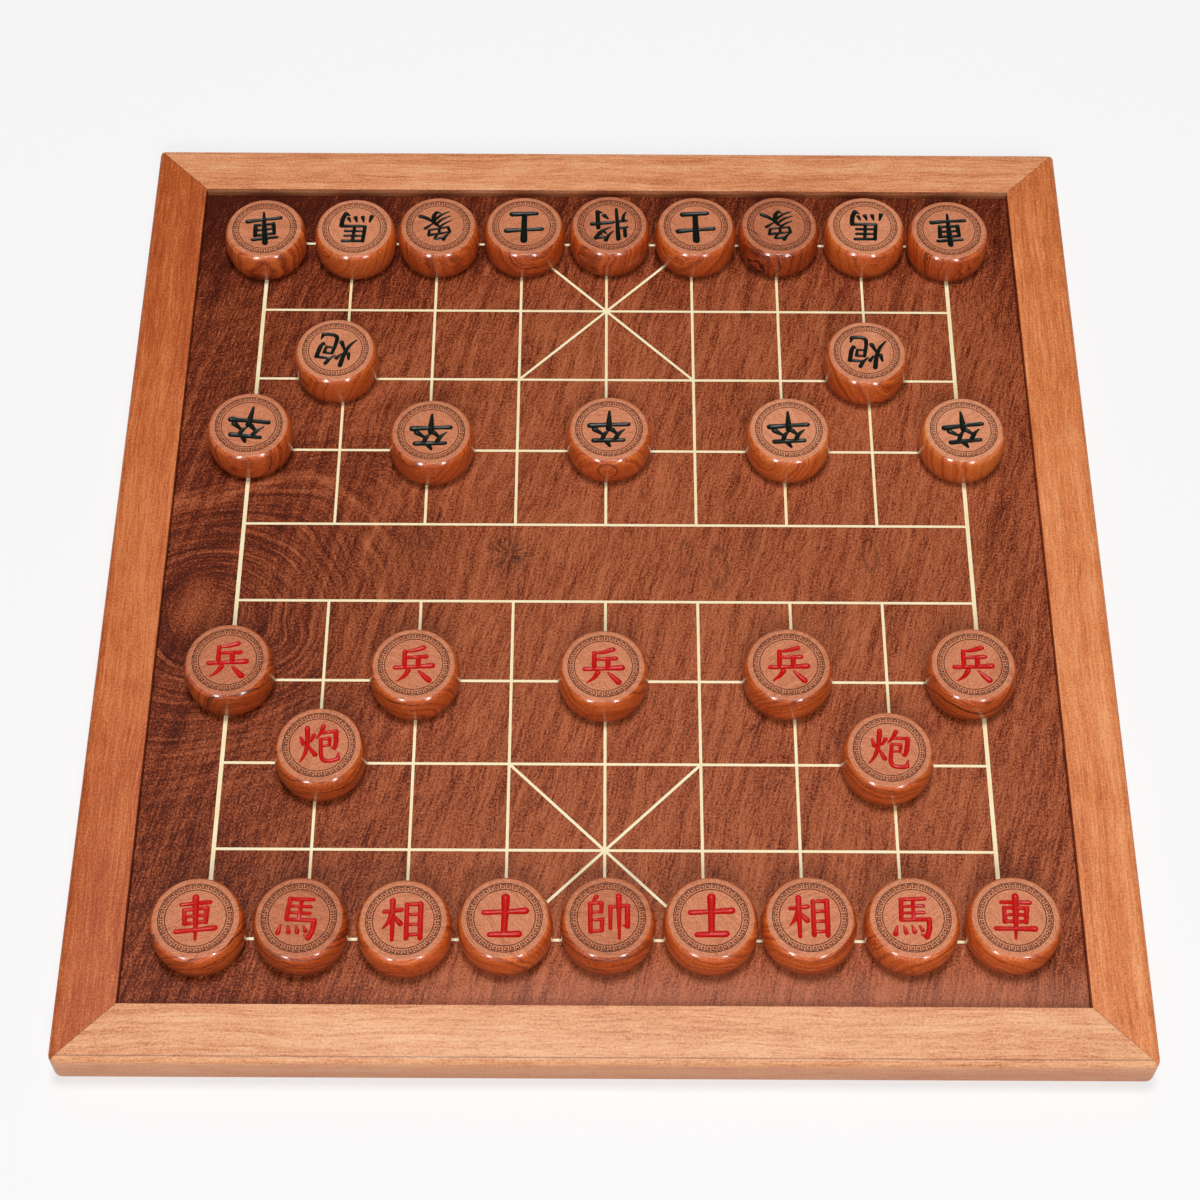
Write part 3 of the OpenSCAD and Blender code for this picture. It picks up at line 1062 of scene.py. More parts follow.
SOLDIER: tuple[Stroke, ...] = (
    ((4.8, 10.0, 1.2), (0.0, 8.4, 1.0), (-4.6, 7.6, 0.5)),
    ((-4.8, 7.8, 1.0), (-4.8, -1.4, 1.1)),
    ((-4.6, 4.0, 0.8), (6.4, 4.6, 1.1)),
    ((2.4, 4.3, 1.1), (2.3, -1.4, 1.1)),
    ((-9.6, -2.0, 1.1), (0.0, -1.6, 1.0), (9.6, -0.9, 1.4)),
    ((-2.8, -4.0, 1.2), (-4.8, -7.2, 0.9), (-8.2, -10.0, 0.4)),
    ((2.8, -4.2, 0.6), (5.2, -6.8, 1.1), (8.0, -9.6, 1.4)),
)
ELEPHANT: tuple[Stroke, ...] = (
    ((-1.6, 10.8, 1.1), (-3.4, 8.2, 0.8), (-6.2, 6.2, 0.4)),
    ((-2.4, 9.0, 0.7), (3.2, 9.3, 0.9), (1.2, 6.2, 0.6)),
    ((-6.2, 5.6, 0.8), (-5.6, 1.8, 0.9)),
    ((-6.2, 5.6, 0.7), (6.4, 6.0, 1.0)),
    ((6.4, 6.0, 1.0), (5.6, 2.0, 0.8)),
    ((-5.6, 1.8, 0.7), (5.6, 2.1, 0.8)),
    ((0.1, 5.8, 0.8), (-0.6, 1.8, 0.8), (-3.6, -1.0, 0.7), (-7.8, -2.6, 0.4)),
    ((-1.0, 0.8, 0.7), (1.6, -2.8, 1.1), (1.5, -7.4, 1.2), (-0.6, -10.6, 1.0)),
    ((-0.6, -10.6, 1.0), (-2.8, -9.4, 0.4)),
    ((0.8, -1.6, 0.8), (-3.4, -4.8, 0.8), (-8.4, -6.4, 0.4)),
    ((1.5, -4.4, 0.8), (-3.0, -8.0, 0.8), (-8.0, -9.8, 0.4)),
    ((7.6, 0.4, 1.0), (2.6, -2.6, 0.5)),
    ((2.2, -3.0, 0.6), (5.4, -6.8, 1.1), (9.2, -9.2, 1.3)),
)
GENERAL: tuple[Stroke, ...] = (
    ((-4.2, 10.2, 1.2), (-4.2, -10.6, 0.8)),
    ((-8.0, 8.4, 1.0), (-8.0, 2.4, 0.9)),
    ((-9.4, 2.2, 0.8), (-4.4, 2.8, 0.8)),
    ((-9.2, -2.4, 0.8), (-4.4, -1.9, 0.8)),
    ((-7.4, -2.2, 1.0), (-7.8, -5.6, 0.8), (-9.4, -8.6, 0.4)),
    ((2.6, 10.6, 1.1), (0.8, 7.2, 0.8), (-1.8, 4.6, 0.4)),
    ((1.4, 8.4, 0.8), (8.0, 8.9, 1.0)),
    ((8.0, 8.9, 1.1), (4.6, 4.4, 1.0), (-0.8, 1.6, 0.4)),
    ((2.0, 6.2, 0.5), (3.6, 4.4, 0.9)),
    ((4.6, 6.8, 0.5), (6.0, 5.2, 0.8)),
    ((-2.0, -1.6, 1.0), (9.4, -0.9, 1.2)),
    ((6.2, 2.0, 1.1), (6.1, -9.6, 1.1)),
    ((6.1, -9.6, 1.1), (3.6, -8.6, 0.4)),
    ((0.6, -4.0, 0.5), (2.6, -6.6, 1.2)),
)
PAWN: tuple[Stroke, ...] = (
    ((-0.6, 11.0, 0.6), (0.8, 8.6, 1.2)),
    ((-7.4, 7.0, 1.0), (7.6, 7.6, 1.2)),
    ((-3.2, 6.4, 1.0), (-5.0, 3.0, 0.9), (-7.8, 0.4, 0.4)),
    ((-4.4, 3.4, 0.6), (-1.4, 0.6, 1.2)),
    ((3.4, 6.6, 1.0), (2.0, 3.2, 0.9), (0.0, 1.0, 0.4)),
    ((3.0, 3.8, 0.6), (7.4, 0.6, 1.3)),
    ((-9.6, -2.9, 1.1), (0.0, -2.4, 1.0), (9.6, -1.7, 1.4)),
    ((0.1, 0.2, 1.3), (0.1, -4.0, 1.2), (0.0, -11.0, 0.5)),
)

KINDS = ("chariot", "horse", "elephant", "advisor", "general", "cannon", "soldier")
RED_SIGNS = (CHARIOT, HORSE, MINISTER, ADVISOR, MARSHAL, CANNON, SOLDIER)
BLACK_SIGNS = (CHARIOT, HORSE, ELEPHANT, ADVISOR, GENERAL, CANNON, PAWN)
SIGNS: dict[tuple[Side, str], tuple[Stroke, ...]] = {
    (side, kind): sign
    for side, signs in ((Side.RED, RED_SIGNS), (Side.BLACK, BLACK_SIGNS))
    for kind, sign in zip(KINDS, signs)
}

# The fret's one key: a square spiral, seen with the piece's rim at the top
KEY = (
    "######..",
    "#....#..",
    "#..#.#..",
    "#..###..",
    "#.......",
)


@dataclass
class PieceBlank:
    """A turned barrel with two rings and a fret cut into its top, open where the sign's field goes."""

    height: float = 20 * MM
    face_r: float = 18.8 * MM
    edge_r: float = 1.5 * MM
    edge_turn: float = 40.0
    shoulder_r: float = 6 * MM
    side_turn: float = 13.0
    outer_ring: tuple[float, float] = (17.3 * MM, 16.9 * MM)
    inner_ring: tuple[float, float] = (14.2 * MM, 13.8 * MM)
    fret_edge: float = 0.25 * MM
    keys: int = 36
    cut: float = 0.3 * MM
    arc_steps: int = 6
    matt_turn: float = 5.0
    slack: float = 0.01 * MM

    @property
    def columns(self) -> int:
        """How many steps the turning takes round the piece."""
        return self.keys * len(KEY[0])

    @property
    def top(self) -> float:
        """Height of the face over the piece's middle."""
        return self.height / 2

    @property
    def fret(self) -> tuple[float, float]:
        """The fret's inner and outer radius."""
        return self.inner_ring[0] + self.fret_edge, self.outer_ring[1] - self.fret_edge

    def _profile(self) -> list[tuple[float, float]]:
        """Give the section's points from the inner ring out, over the side and to the foot.

        Returns:
            Each point's radius and height.
        """
        rows, steps = len(KEY), self.arc_steps
        fret_in, fret_out = self.fret
        flat = [self.inner_ring[1], self.inner_ring[0]]
        flat += [fret_in + (fret_out - fret_in) * i / rows for i in range(rows + 1)]
        flat += [self.outer_ring[1], self.outer_ring[0]]
        over: list[tuple[float, float]] = []
        for i in range(steps + 1):
            a = math.radians(90 - (90 - self.edge_turn) * i / steps)
            out = self.face_r + self.edge_r * math.cos(a)
            over.append((out, self.top - self.edge_r * (1 - math.sin(a))))
        edge, start = over[-1], math.radians(self.edge_turn)
        for i in range(1, steps + 1):
            a = math.radians(self.edge_turn - (self.edge_turn - self.side_turn) * i / steps)
            out = self.shoulder_r * (math.cos(a) - math.cos(start))
            over.append((edge[0] + out, edge[1] - self.shoulder_r * (math.sin(start) - math.sin(a))))
        side, rise = over[-1]
        swell_r = rise / math.sin(math.radians(self.side_turn))
        side_x = side - swell_r * math.cos(math.radians(self.side_turn))
        swell = [math.radians(self.side_turn * (1 - i / steps)) for i in range(1, 2 * steps)]
        return [
            *((r, self.top) for r in flat),
            *over,
            *((side_x + swell_r * math.cos(a), swell_r * math.sin(a)) for a in swell),
            *((r, -z) for r, z in reversed(over)),
        ]

    def build(self, finishes: Sequence[bpy.types.Material]) -> bpy.types.Object:
        """Turn the blank and cut its rings and fret.

        Args:
            finishes: The materials, in Slot's order.

        Returns:
            The blank, with its middle at the origin.
        """
        profile = self._profile()
        Workbench.clear()
        bpy.ops.mesh.primitive_plane_add(size=1 * MM)
        blank = bpy.context.object
        blank.name = "blank"
        with Workbench.editing(blank):
            bpy.ops.mesh.merge(type="CENTER")
            bpy.ops.mesh.select_mode(type="VERT")
            bpy.ops.mesh.select_all(action="SELECT")
            here = profile[0]
            bpy.ops.transform.translate(value=(here[0], 0, here[1]))
            for point in profile[1:]:
                step = (point[0] - here[0], 0, point[1] - here[1])
                bpy.ops.mesh.extrude_region_move(TRANSFORM_OT_translate={"value": step})
                here = point
            bpy.ops.mesh.select_all(action="SELECT")
            bpy.ops.mesh.spin(steps=self.columns, angle=2 * math.pi, center=(0, 0, 0), axis=(0, 0, 1))
            bpy.ops.mesh.select_all(action="SELECT")
            bpy.ops.mesh.remove_doubles(threshold=0.002 * MM)
        self._close(blank, profile[-1])
        with Workbench.editing(blank):
            bpy.ops.mesh.normals_make_consistent(inside=False)
        with Workbench.editing(blank, faces=self._is_etched):
            bpy.ops.mesh.extrude_region_move(TRANSFORM_OT_translate={"value": (0, 0, -self.cut)})
        for finish in finishes:
            blank.data.materials.append(finish)
        self._assign(blank)
        return blank

    @staticmethod
    def _close(blank: bpy.types.Object, rim: tuple[float, float]) -> None:
        """Close the blank's foot with a face.

        Args:
            blank: The open blank.
            rim: The opening's radius and height.
        """

        def on_rim(a: Vector, b: Vector) -> bool:
            """Say whether an edge lies on the rim."""
            return all(near(math.hypot(p.x, p.y), rim[0]) and near(p.z, rim[1]) for p in (a, b))

        with Workbench.editing(blank, edges=on_rim):
            bpy.ops.mesh.edge_face_add()

    def _is_etched(self, at: Vector, normal: Vector) -> bool:
        """Say whether a face belongs to a ring or to a key of the fret.

        Args:
            at: The face's middle.
            normal: Its normal.

        Returns:
            Whether it is cut away.
        """
        if normal.z < UPWARD or at.z < self.top - self.slack:
            return False
        # A flat step's middle lies a little inside the arc that it stands for
        out = math.hypot(at.x, at.y) * 1.00006
        if any(inner < out < outer for outer, inner in (self.outer_ring, self.inner_ring)):
            return True
        fret_in, fret_out = self.fret
        if not fret_in < out < fret_out:
            return False
        row = min(int((fret_out - out) / ((fret_out - fret_in) / len(KEY))), len(KEY) - 1)
        column = math.floor(math.atan2(-at.x, at.y) / (2 * math.pi) * self.columns) % len(KEY[0])
        return KEY[row][column] == "#"

    def _assign(self, blank: bpy.types.Object) -> None:
        """Give each face its finish by its place: etched below the top, matt on the flats, else lacquered.

        Args:
            blank: The blank, with its middle at the origin.
        """
        round_off = self.edge_r * (1 - math.sin(math.radians(self.edge_turn + self.matt_turn)))
        matt_z = self.top - round_off - 0.001 * MM
        for face in blank.data.polygons:
            at = face.center
            if math.hypot(at.x, at.y) < self.outer_ring[0] + self.slack and 0 < at.z < self.top - self.slack:
                face.material_index = Slot.ETCHED.value
            elif at.z > matt_z or at.z < 0.001 * MM - self.top:
                face.material_index = Slot.TOP.value
            else:
                face.material_index = Slot.SIDE.value


@dataclass
class SignCarver:
    """Cuts a sign's strokes into a blank as round-bottomed grooves that are painted."""

    depth: float = 0.55
    plug: float = 2 * MM
    rim: float = 0.5 * MM
    grid: float = 2.5 * MM
    grid_shift: float = 0.37
    reach: float = 13.2
    bold: float = 1.24
    bold_dense: float = 1.12
    dense: int = 12
    curve_steps: int = 5
    straight_steps: int = 2
    tip_half: float = 0.02
    round_steps: tuple[float, ...] = (0.0, 0.35, 0.7)
    weld: float = 0.001 * MM

    def cutter(self, strokes: Sequence[Stroke], paint: bpy.types.Material, top: float) -> bpy.types.Object:
        """Make the gouge's path for one sign.

        Args:
            strokes: The sign's strokes.
            paint: The material that the grooves take.
            top: Height of the face that is carved.

        Returns:
            The cutter, one closed tube for each stroke.
        """
        Workbench.clear()
        curve = bpy.data.curves.new("strokes", "CURVE")
        curve.dimensions = "3D"
        curve.bevel_depth = 1 * MM
        curve.bevel_resolution = 3
        curve.use_fill_caps = True
        bold = self.bold if len(strokes) < self.dense else self.bold_dense
        reach = max(math.hypot(x, y) + half * bold for stroke in strokes for x, y, half in stroke)
        fit = min(1.0, self.reach / reach)
        for stroke in strokes:
            path = self._path(tuple((x * fit, y * fit, half * fit * bold) for x, y, half in stroke))
            spline = curve.splines.new("POLY")
            spline.points.add(len(path) - 1)
            for point, (x, y, half) in zip(spline.points, path):
                point.co = (x * MM, y * MM, 0, 1)
                point.radius = half
        cutter = bpy.data.objects.new("strokes", curve)
        bpy.context.scene.collection.objects.link(cutter)
        Workbench.only(cutter)
        bpy.ops.object.convert(target="MESH")
        cutter = bpy.context.object
        cutter.scale = (1, 1, self.depth)
        cutter.location = (0, 0, top)
        Workbench.settle(cutter)
        Workbench.tidy(cutter, self.weld)
        cutter.data.materials.clear()
        cutter.data.materials.append(paint)
        return cutter

    def _path(self, stroke: Stroke) -> list[Point]:
        """Draw a smooth line through a stroke's points, with round ends.

        Args:
            stroke: The points with their half widths.

        Returns:
            The line's points with their half widths.
        """
        points = [Vector(p) for p in stroke]
        padded = [2 * points[0] - points[1], *points, 2 * points[-1] - points[-2]]
        line: list[Vector] = []
        steps = self.curve_steps if len(points) > 2 else self.straight_steps
        for i in range(1, len(padded) - 2):
            p0, p1, p2, p3 = padded[i - 1 : i + 3]
            slope, bend, twist = p2 - p0, 2 * p0 - 5 * p1 + 4 * p2 - p3, 3 * p1 - p0 - 3 * p2 + p3
            for k in range(steps):
                t = k / steps
                line.append(0.5 * (2 * p1 + slope * t + bend * t**2 + twist * t**3))
        line.append(points[-1])
        start, finish = self._end(line[0], line[1]), self._end(line[-1], line[-2])
        return [tuple(p) for p in [*start, *line, *reversed(finish)]]

    def _end(self, tip: Vector, inner: Vector) -> list[Vector]:
        """Round off a stroke beyond its last point.

        Args:
            tip: The stroke's last point with its half width.
            inner: The point before it.

        Returns:
            The points of the round end, from its outermost one.
        """
        way = (tip - inner).to_2d().normalized()
        ends = []
        for share in self.round_steps:
            a = (1 - share) * math.pi / 2
            x, y = tip.x + way.x * tip.z * math.sin(a), tip.y + way.y * tip.z * math.sin(a)
            ends.append(Vector((x, y, max(tip.z * math.cos(a), self.tip_half))))
        return ends

    def field_plug(self, turned: PieceBlank) -> bpy.types.Object:
        """Make a short plug that fills the blank's opening, with its top divided so that it carves cleanly.

        Args:
            turned: The blank's sizes.

        Returns:
            The plug.
        """
        radius = turned.inner_ring[1]

        def on_field(at: Vector, normal: Vector) -> bool:
            """Say whether a face lies on the top, inside the rim."""
            return normal.z > UPWARD and math.hypot(at.x, at.y) < radius - self.rim

        Workbench.clear()
        middle = (0, 0, turned.top - self.plug)
        bpy.ops.mesh.primitive_cylinder_add(
            vertices=turned.columns, radius=radius, depth=2 * self.plug, location=middle
        )
        plug = bpy.context.object
        Workbench.settle(plug)
        with Workbench.editing(plug, faces=lambda at, n: n.z > UPWARD):
            bpy.ops.mesh.inset(thickness=self.rim)
        lines = int(radius / self.grid)
        for way in ((1, 0, 0), (0, 1, 0)):
            for i in range(-lines, lines + 1):
                place = [w * ((i + self.grid_shift) * self.grid) for w in way]
                with Workbench.editing(plug, faces=on_field):
                    bpy.ops.mesh.bisect(plane_co=place, plane_no=way)
        return plug

    def carve(
        self, blank: bpy.types.Object, plain: bpy.types.Object, turned: PieceBlank,
        strokes: Sequence[Stroke], paint: bpy.types.Material,
    ) -> bpy.types.Object:
        """Copy a blank and let in its carved field.

        Args:
            blank: The turned blank, open inside its inner ring.
            plain: The plain plug that fills the opening.
            turned: The blank's sizes.
            strokes: The sign's strokes.
            paint: The paint.

        Returns:
            The carved piece, with its middle at the origin.
        """
        wall = turned.inner_ring[1] * 0.999
        floor = turned.top - 1.9 * self.plug
        plug = Workbench.copy(plain)
        plug.data.materials.append(blank.data.materials[Slot.TOP.value])
        Workbench.cut(plug, self.cutter(strokes, paint, turned.top), keep_finish=True)
        with Workbench.editing(plug, faces=lambda at, n: math.hypot(at.x, at.y) > wall or at.z < floor):
            bpy.ops.mesh.delete(type="FACE")
        piece = Workbench.copy(blank)
        Workbench.only(piece)
        plug.select_set(True)
        bpy.ops.object.join()
        Workbench.tidy(piece, self.weld)
        return piece


@dataclass
class PieceSet:
    """The 32 playing pieces in their opening places."""

    woods: dict[Slot, bpy.types.Material]
    paints: dict[Side, bpy.types.Material]
    blank: PieceBlank = field(default_factory=PieceBlank)
    carver: SignCarver = field(default_factory=SignCarver)
    seed: int = 32
    smooth_below: float = 32.0
    side_r: float = 21.6
    # How far the wood of a piece is turned, in radians, and moved in its plank
    block_turns: Point = (0.5, 0.12, 0.9)
    block_places: tuple[tuple[float, float], ...] = ((-1, 1), (0.008, 0.03), (0.008, 0.03))
    # Degrees by which the hand turned some pieces
    turns: dict[str, float] = field(
        default_factory=lambda: {
            "black_chariot_left": 186, "black_horse_left": 176, "black_elephant_left": 190,
            "black_advisor_left": 179, "black_general": 184, "black_advisor_right": 181,
            "black_elephant_right": 186, "black_horse_right": 178, "black_chariot_right": 183,
            "black_cannon_left": 168, "black_cannon_right": 171, "black_soldier_1": 172,
            "black_soldier_2": 178, "black_soldier_3": 179, "black_soldier_4": 181,
            "black_soldier_5": 184, "red_chariot_left": 3, "red_horse_left": -4,
            "red_chariot_right": -3, "red_cannon_left": 4, "red_cannon_right": -6,
        }
    )
    # How strongly some pieces show dark veins
    veins: dict[str, float] = field(
        default_factory=lambda: {
            "red_chariot_left": 1.0, "black_elephant_right": 1.0, "red_cannon_left": 0.9,
            "black_chariot_right": 0.7, "black_advisor_left": 0.5, "red_soldier_5": 0.8,
            "black_cannon_left": 0.5, "red_horse_left": 0.5, "black_soldier_2": 0.35,
        }
    )
    # How light some pieces are, where 0.5 is common
    tints: dict[str, float] = field(
        default_factory=lambda: {
            "black_general": 0.40, "red_general": 0.44, "red_soldier_1": 0.42, "red_horse_left": 0.42,
            "black_elephant_right": 0.38, "black_soldier_5": 0.62, "black_soldier_4": 0.58,
            "red_chariot_right": 0.55, "black_horse_left": 0.57, "black_horse_right": 0.56,
        }
    )
    # Small knots on the side: degrees round from the sign's head, height and radius in millimetres
    knots: dict[str, Point] = field(
        default_factory=lambda: {"black_soldier_3": (1.0, 2.9, 4.9), "red_horse_right": (185.0, -2.0, 2.6)}
    )

    def build(self, nodes: Sequence[str]) -> dict[str, bpy.types.Object]:
        """Turn, carve and set out every piece.

        Args:
            nodes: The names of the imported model's nodes.

        Returns:
            The pieces by their nodes' names.
        """
        draw = random.Random(self.seed)
        masters: dict[tuple[Side, str], bpy.types.Object] = {}
        blank = self.blank.build([self.woods[slot] for slot in (Slot.TOP, Slot.SIDE, Slot.ETCHED)])
        plug = self.carver.field_plug(self.blank)
        for key, strokes in SIGNS.items():
            shared = next((made for other, made in masters.items() if SIGNS[other] is strokes), None)
            masters[key] = shared or self.carver.carve(blank, plug, self.blank, strokes, self.paints[key[0]])
        pieces = {}
        for node in sorted(n for n in nodes if n.startswith(("red_", "black_"))):
            side, kind = node.split("_")[:2]
            pieces[node] = self._set_out(node, Side(side), masters[Side(side), kind], draw)
        for master in {*masters.values(), blank, plug}:
            bpy.data.objects.remove(master)
        return pieces

    def _set_out(
        self, node: str, side: Side, master: bpy.types.Object, draw: random.Random
    ) -> bpy.types.Object:
        """Copy a carved piece to its node's place.

        Args:
            node: The node that it stands for.
            side: The player it belongs to.
            master: The carved piece at the origin.
            draw: The source of its wood's place in the plank.

        Returns:
            The piece.
        """
        piece = Workbench.copy(master)
        piece.name = f"{node}_turned"
        piece.data.materials[Slot.PAINT.value] = self.paints[side]
        self._mark_grain(piece.data, node, draw)
        low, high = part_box(node)
        turn = self.turns.get(node, 180 if side is Side.BLACK else 0) + draw.uniform(-1.5, 1.5)
        piece.location = (low + high) / 2
        piece.rotation_euler = Euler((0, 0, math.radians(turn)))
        Workbench.settle(piece)
        Workbench.smooth(piece, self.smooth_below)
        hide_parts(node)
        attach(piece, node)
        LOG.info("%s: %d faces", piece.name, len(piece.data.polygons))
        return piece

    def _mark_grain(self, mesh: bpy.types.Mesh, node: str, draw: random.Random) -> None:
        """Write each point's place in the piece's own block of wood, its tint, its veins and its knot.

        Args:
            mesh: The piece's mesh, with its middle at the origin.
            node: The node that it stands for.
            draw: The source of the block's turn and place.
        """

        def write(name: str, kind: str, key: str, values: np.ndarray) -> None:
            """Add an attribute of the mesh's points."""
            mesh.attributes.new(name, kind, "POINT").data.foreach_set(key, values.astype(np.float32).ravel())

        count = len(mesh.vertices)
        places = np.zeros(count * 3, np.float32)
        mesh.vertices.foreach_get("co", places)
        places = places.reshape(-1, 3)
        block = Euler([draw.uniform(-most, most) for most in self.block_turns]).to_matrix()
        offset = Vector([draw.uniform(*span) for span in self.block_places])
        grain = places @ np.array(block, np.float32).T + np.array(offset, np.float32)
        write("grain", "FLOAT_VECTOR", "vector", grain)
        turn, height, radius = self.knots.get(node, (0.0, 0.0, 0.001))
        a = math.radians(turn)
        spot = (math.sin(a) * self.side_r, math.cos(a) * self.side_r, height)
        spot = np.array(spot, np.float32) * np.float32(MM)
        write("knot", "FLOAT", "value", np.linalg.norm(places - spot, axis=1) / (radius * MM))
        tint = self.tints.get(node, 0.5) + draw.uniform(-0.03, 0.03)
        for name, value in (("tint", tint), ("figure", self.veins.get(node, draw.uniform(0.0, 0.25)))):
            write(name, "FLOAT", "value", np.full(count, value))


@dataclass
class Softbox:
    """One soft light that looks at the board, square or upright."""

    name: str
    azimuth: float
    elevation: float
    size: float
    power: float
    distance: float = 2.4
    tall: float = 1.0
    shine_only: bool = False

    def light(self, pieces: bpy.types.Collection) -> None:
        """Hang the light.

        Args:
            pieces: The playing pieces, which alone take a light that only shines.
        """
        a, e = math.radians(self.azimuth), math.radians(self.elevation)
        way = Vector((math.sin(a) * math.cos(e), math.cos(a) * math.cos(e), math.sin(e)))
        data = bpy.data.lights.new(self.name, "AREA")
        data.shape = "RECTANGLE"
        data.size = self.size
        data.size_y = self.size * self.tall
        data.energy = self.power
        lamp = bpy.data.objects.new(self.name, data)
        if self.shine_only:
            lamp.visible_diffuse = False
            lamp.light_linking.receiver_collection = pieces
        lamp.location = way * self.distance
        lamp.rotation_euler = way.to_track_quat("Z", "Y").to_euler()
        bpy.context.scene.collection.objects.link(lamp)


@dataclass
class Studio:
    """The pale floor with its backdrop, the soft lights and the camera."""

    floor_size: float = 24.0
    floor_gap: float = 0.1 * MM
    backdrop_radius: float = 11.0
    backdrop_glow: float = 0.675
    floor_colour: Colour = (0.31, 0.309, 0.308)
    floor_glow: float = 0.655
    ambient: float = 0.03
    lens: float = 76.56
    sensor: float = 36.0
    place: Point = (-0.00327, -0.69759, 1.09734)
    turn: Point = (32.0134, -0.1647, 0.2197)
    boxes: tuple[Softbox, ...] = (
        Softbox("top", 0.0, 86.0, 1.0, 98.0, 4.0),
        Softbox("front", 176.0, 44.0, 1.0, 41.0, 3.2),
        Softbox("glint_left", -152.0, 19.0, 0.3, 44.0, 2.4, 4.0, shine_only=True),
        Softbox("glint_right", 153.0, 19.0, 0.24, 37.0, 2.4, 4.6, shine_only=True),
    )

    def set_up(self, pieces: Sequence[bpy.types.Object]) -> None:
        """Lay the floor, light it and place the camera.

        Args:
            pieces: The playing pieces.
        """
        Workbench.clear()
        bpy.ops.mesh.primitive_plane_add(size=self.floor_size, location=(0, 0, -self.floor_gap))
        floor = bpy.context.object
        floor.name = "studio_floor"
        floor.data.materials.append(self._floor_paint())
        self._backdrop()
        glossy = bpy.data.collections.new("glossy_pieces")
        for piece in pieces:
            glossy.objects.link(piece)
        for box in self.boxes:
            box.light(glossy)
        world = bpy.data.worlds.new("studio_air")
        world.use_nodes = True
        background = world.node_tree.nodes["Background"]
        background.inputs["Color"].default_value = (1.0, 1.0, 1.0, 1.0)
        background.inputs["Strength"].default_value = self.ambient
        bpy.context.scene.world = world
        bpy.context.scene.view_settings.view_transform = "Standard"
        bpy.context.scene.view_settings.look = "None"
        self._camera()

    def _floor_paint(self) -> bpy.types.Material:
        """Give the floor's matt paper.

        Returns:
            The material.
        """
        s = Shader("studio_paper")
        x, y, _ = s.place()
        cloud = s.noise(s.join(x, y), 1 / 400, 2.0)
        paint = s.shade(self.floor_colour, 0.995 + cloud * 0.01)
        glow = {"emission_color": (1.0, 1.0, 1.0), "emission_strength": self.floor_glow}
        return s.surface(paint, 0.9, specular_ior_level=0.1, **glow)

    def _backdrop(self) -> None:
        """Close the view beyond the floor with a plain pale dome that casts no light on the object."""
        bpy.ops.mesh.primitive_uv_sphere_add(segments=48, ring_count=24, radius=self.backdrop_radius)
        dome = bpy.context.object
        dome.name = "studio_backdrop"
        s = Shader("studio_backdrop_paper")
        glow = {"emission_color": (1.0, 1.0, 1.0), "emission_strength": self.backdrop_glow}
        dome.data.materials.append(s.surface((0.0, 0.0, 0.0), 1.0, specular_ior_level=0.0, **glow))
        for sight in ("visible_diffuse", "visible_glossy", "visible_transmission", "visible_shadow"):
            setattr(dome, sight, False)

    def _camera(self) -> None:
        """Place the camera at the photograph's viewing angle."""
        data = bpy.data.cameras.new("camera")
        data.lens = self.lens
        data.sensor_width = self.sensor
        data.clip_start = 0.05
        camera = bpy.data.objects.new("camera", data)
        camera.location = self.place
        camera.rotation_euler = Euler([math.radians(v) for v in self.turn])
        bpy.context.scene.collection.objects.link(camera)
        bpy.context.scene.camera = camera


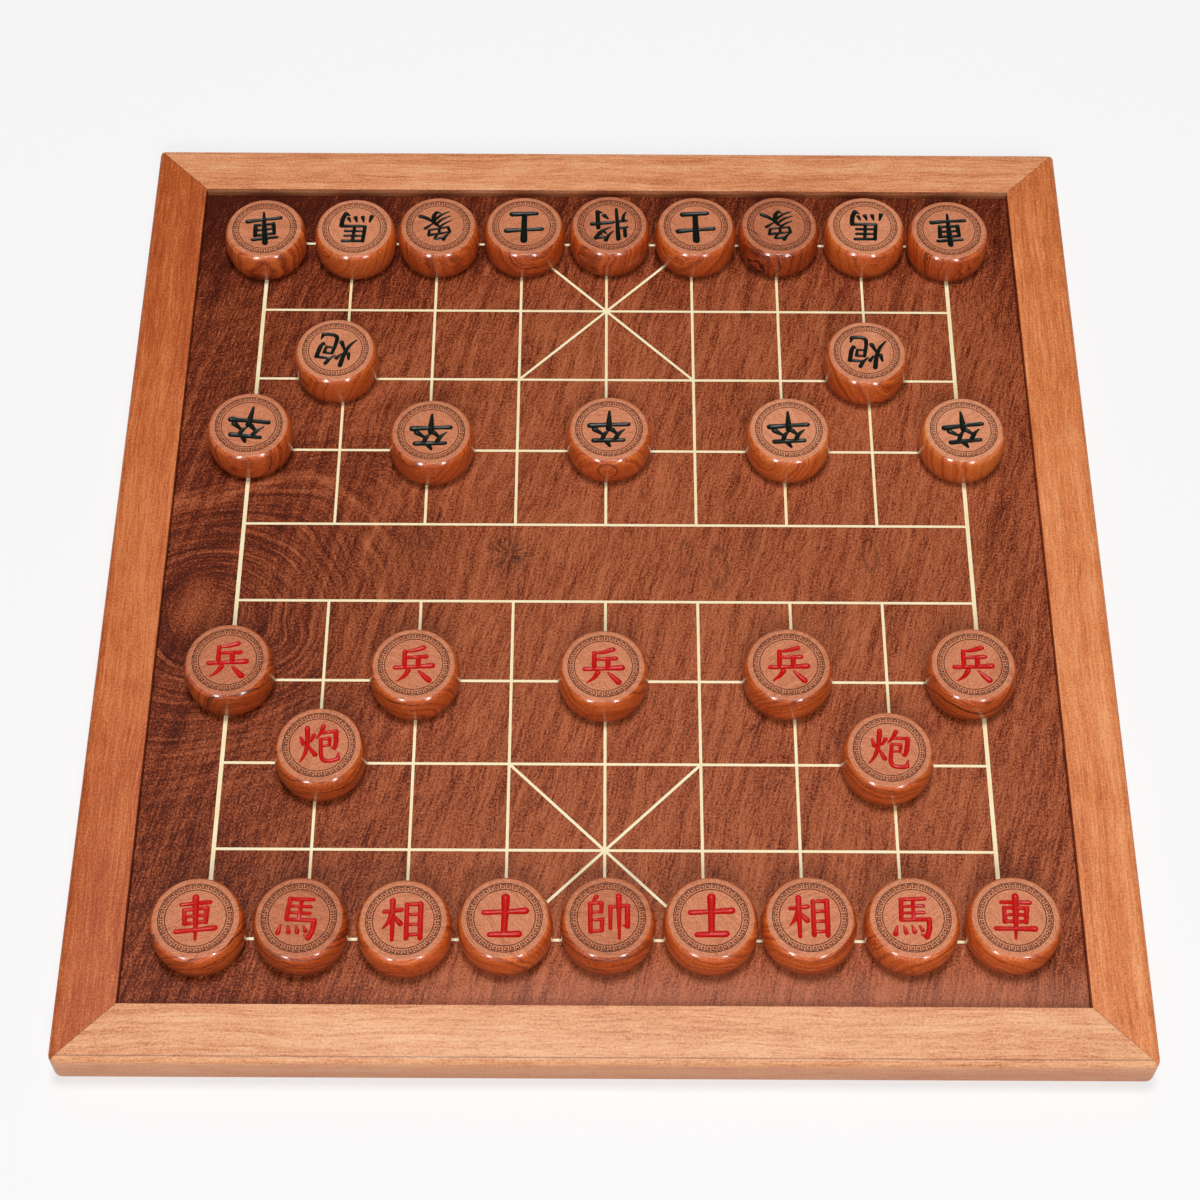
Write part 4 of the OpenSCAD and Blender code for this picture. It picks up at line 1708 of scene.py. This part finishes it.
@dataclass
class Board:
    """The framed panel: its own nodes dressed, and the rails made anew."""

    nodes: dict[str, bpy.types.Object]
    rails: RailFrame = field(default_factory=RailFrame)

    @staticmethod
    def rail_woods() -> dict[Edge, RailWood]:
        """Give each rail its wood.

        Returns:
            The woods by the rails' places.
        """
        front = srgb(190, 106, 60), srgb(236, 165, 116), srgb(252, 198, 152)
        back = srgb(186, 104, 60), srgb(236, 155, 106), srgb(250, 196, 150)
        left = srgb(148, 58, 22), srgb(188, 89, 38), srgb(226, 132, 76)
        right = srgb(178, 86, 42), srgb(226, 130, 72), srgb(250, 170, 114)
        return {
            Edge.FRONT: RailWood("front_rail_wood", *front, quirk_shade=0.42),
            Edge.BACK: RailWood("back_rail_wood", *back, seed=170.0),
            Edge.LEFT: RailWood("left_rail_wood", *left, False, 330.0, 0.03, middle=0.2),
            Edge.RIGHT: RailWood("right_rail_wood", *right, False, 510.0, 0.06, middle=0.07),
        }

    @staticmethod
    def panel_finishes() -> dict[tuple[str, ...], Finish]:
        """Give the panel's parts, inlays and pads their finishes.

        Returns:
            The finishes by the nodes that share one.
        """
        cream, straw, gold = srgb(255, 249, 212), srgb(255, 231, 180), srgb(253, 224, 164)
        backing = srgb(126, 74, 48), srgb(170, 112, 76)
        core = srgb(196, 160, 112), srgb(224, 194, 148)
        key = srgb(186, 140, 92), srgb(214, 172, 122)
        return {
            ("rank_inlays", "palace_inlays"): StripWood("inlay_wood_along", straw, cream, True, 1.4, 0.42),
            ("file_inlays", "edge_file_inlays"): StripWood(
                "inlay_wood_upright", gold, cream, False, 1.4, 0.42
            ),
            ("face_veneer",): PanelWood(),
            ("backing_veneer",): StripWood("backing_wood", *backing, False, 0.5, 0.55),
            ("board_core",): StripWood("core_wood", *core, True, 0.6, 0.6),
            ("mitre_splines",): StripWood("key_wood", *key),
            ("foot_pads",): Rubber(),
        }

    def build(self) -> None:
        """Make the rails and dress the panel's parts."""
        for edge, wood in self.rail_woods().items():
            rail = self.rails.rail(edge, wood.material())
            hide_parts(f"{edge.name.lower()}_rail")
            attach(rail, "board")
            "pale_rail_wood" if edge in (Edge.FRONT, Edge.BACK) else "red_rail_wood"
            LOG.info("%s: %d faces", rail.name, len(rail.data.polygons))
        for nodes, finish in self.panel_finishes().items():
            material = finish.material()
            for node in nodes:
                mesh = self.nodes[node].data
                mesh.materials.clear()
                mesh.materials.append(material)
                LOG.info("%s: dressed in %s", node, material.name)


def main() -> None:
    """Load the frame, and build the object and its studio."""
    logging.basicConfig(level=logging.INFO, format="%(name)s: %(message)s", stream=sys.stdout)
    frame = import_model()
    Board(frame["nodes"]).build()
    face = srgb(140, 64, 36), srgb(213, 131, 92), srgb(246, 176, 137)
    lacquer = srgb(72, 15, 2), srgb(222, 95, 28), srgb(252, 150, 68)
    etched = srgb(40, 16, 8), srgb(66, 30, 18), srgb(92, 46, 28)
    finishes = {
        Slot.TOP: PieceWood("piece_top_wood", *face, 0.52, 0.5, 0.09, mottle=0.95, vein=0.25),
        # The lacquer's foot term is painted shade on the lower side
        Slot.SIDE: PieceWood("piece_side_lacquer", *lacquer, 0.42, 1.35, 0.05, 0.8, mottle=0.6, foot=0.4),
        Slot.ETCHED: PieceWood("piece_etched_wood", *etched, 0.7, 0.4, 0.08),
    }
    woods = {slot: finish.material() for slot, finish in finishes.items()}
    paints = {
        Side.RED: Paint("red_paint", srgb(150, 2, 0), srgb(228, 14, 4)).material(),
        Side.BLACK: Paint("black_paint", srgb(3, 8, 4), srgb(16, 26, 16)).material(),
    }
    pieces = PieceSet(woods, paints).build(list(frame["nodes"]))
    Studio().set_up(list(pieces.values()))


if __name__ == "__main__":
    main()
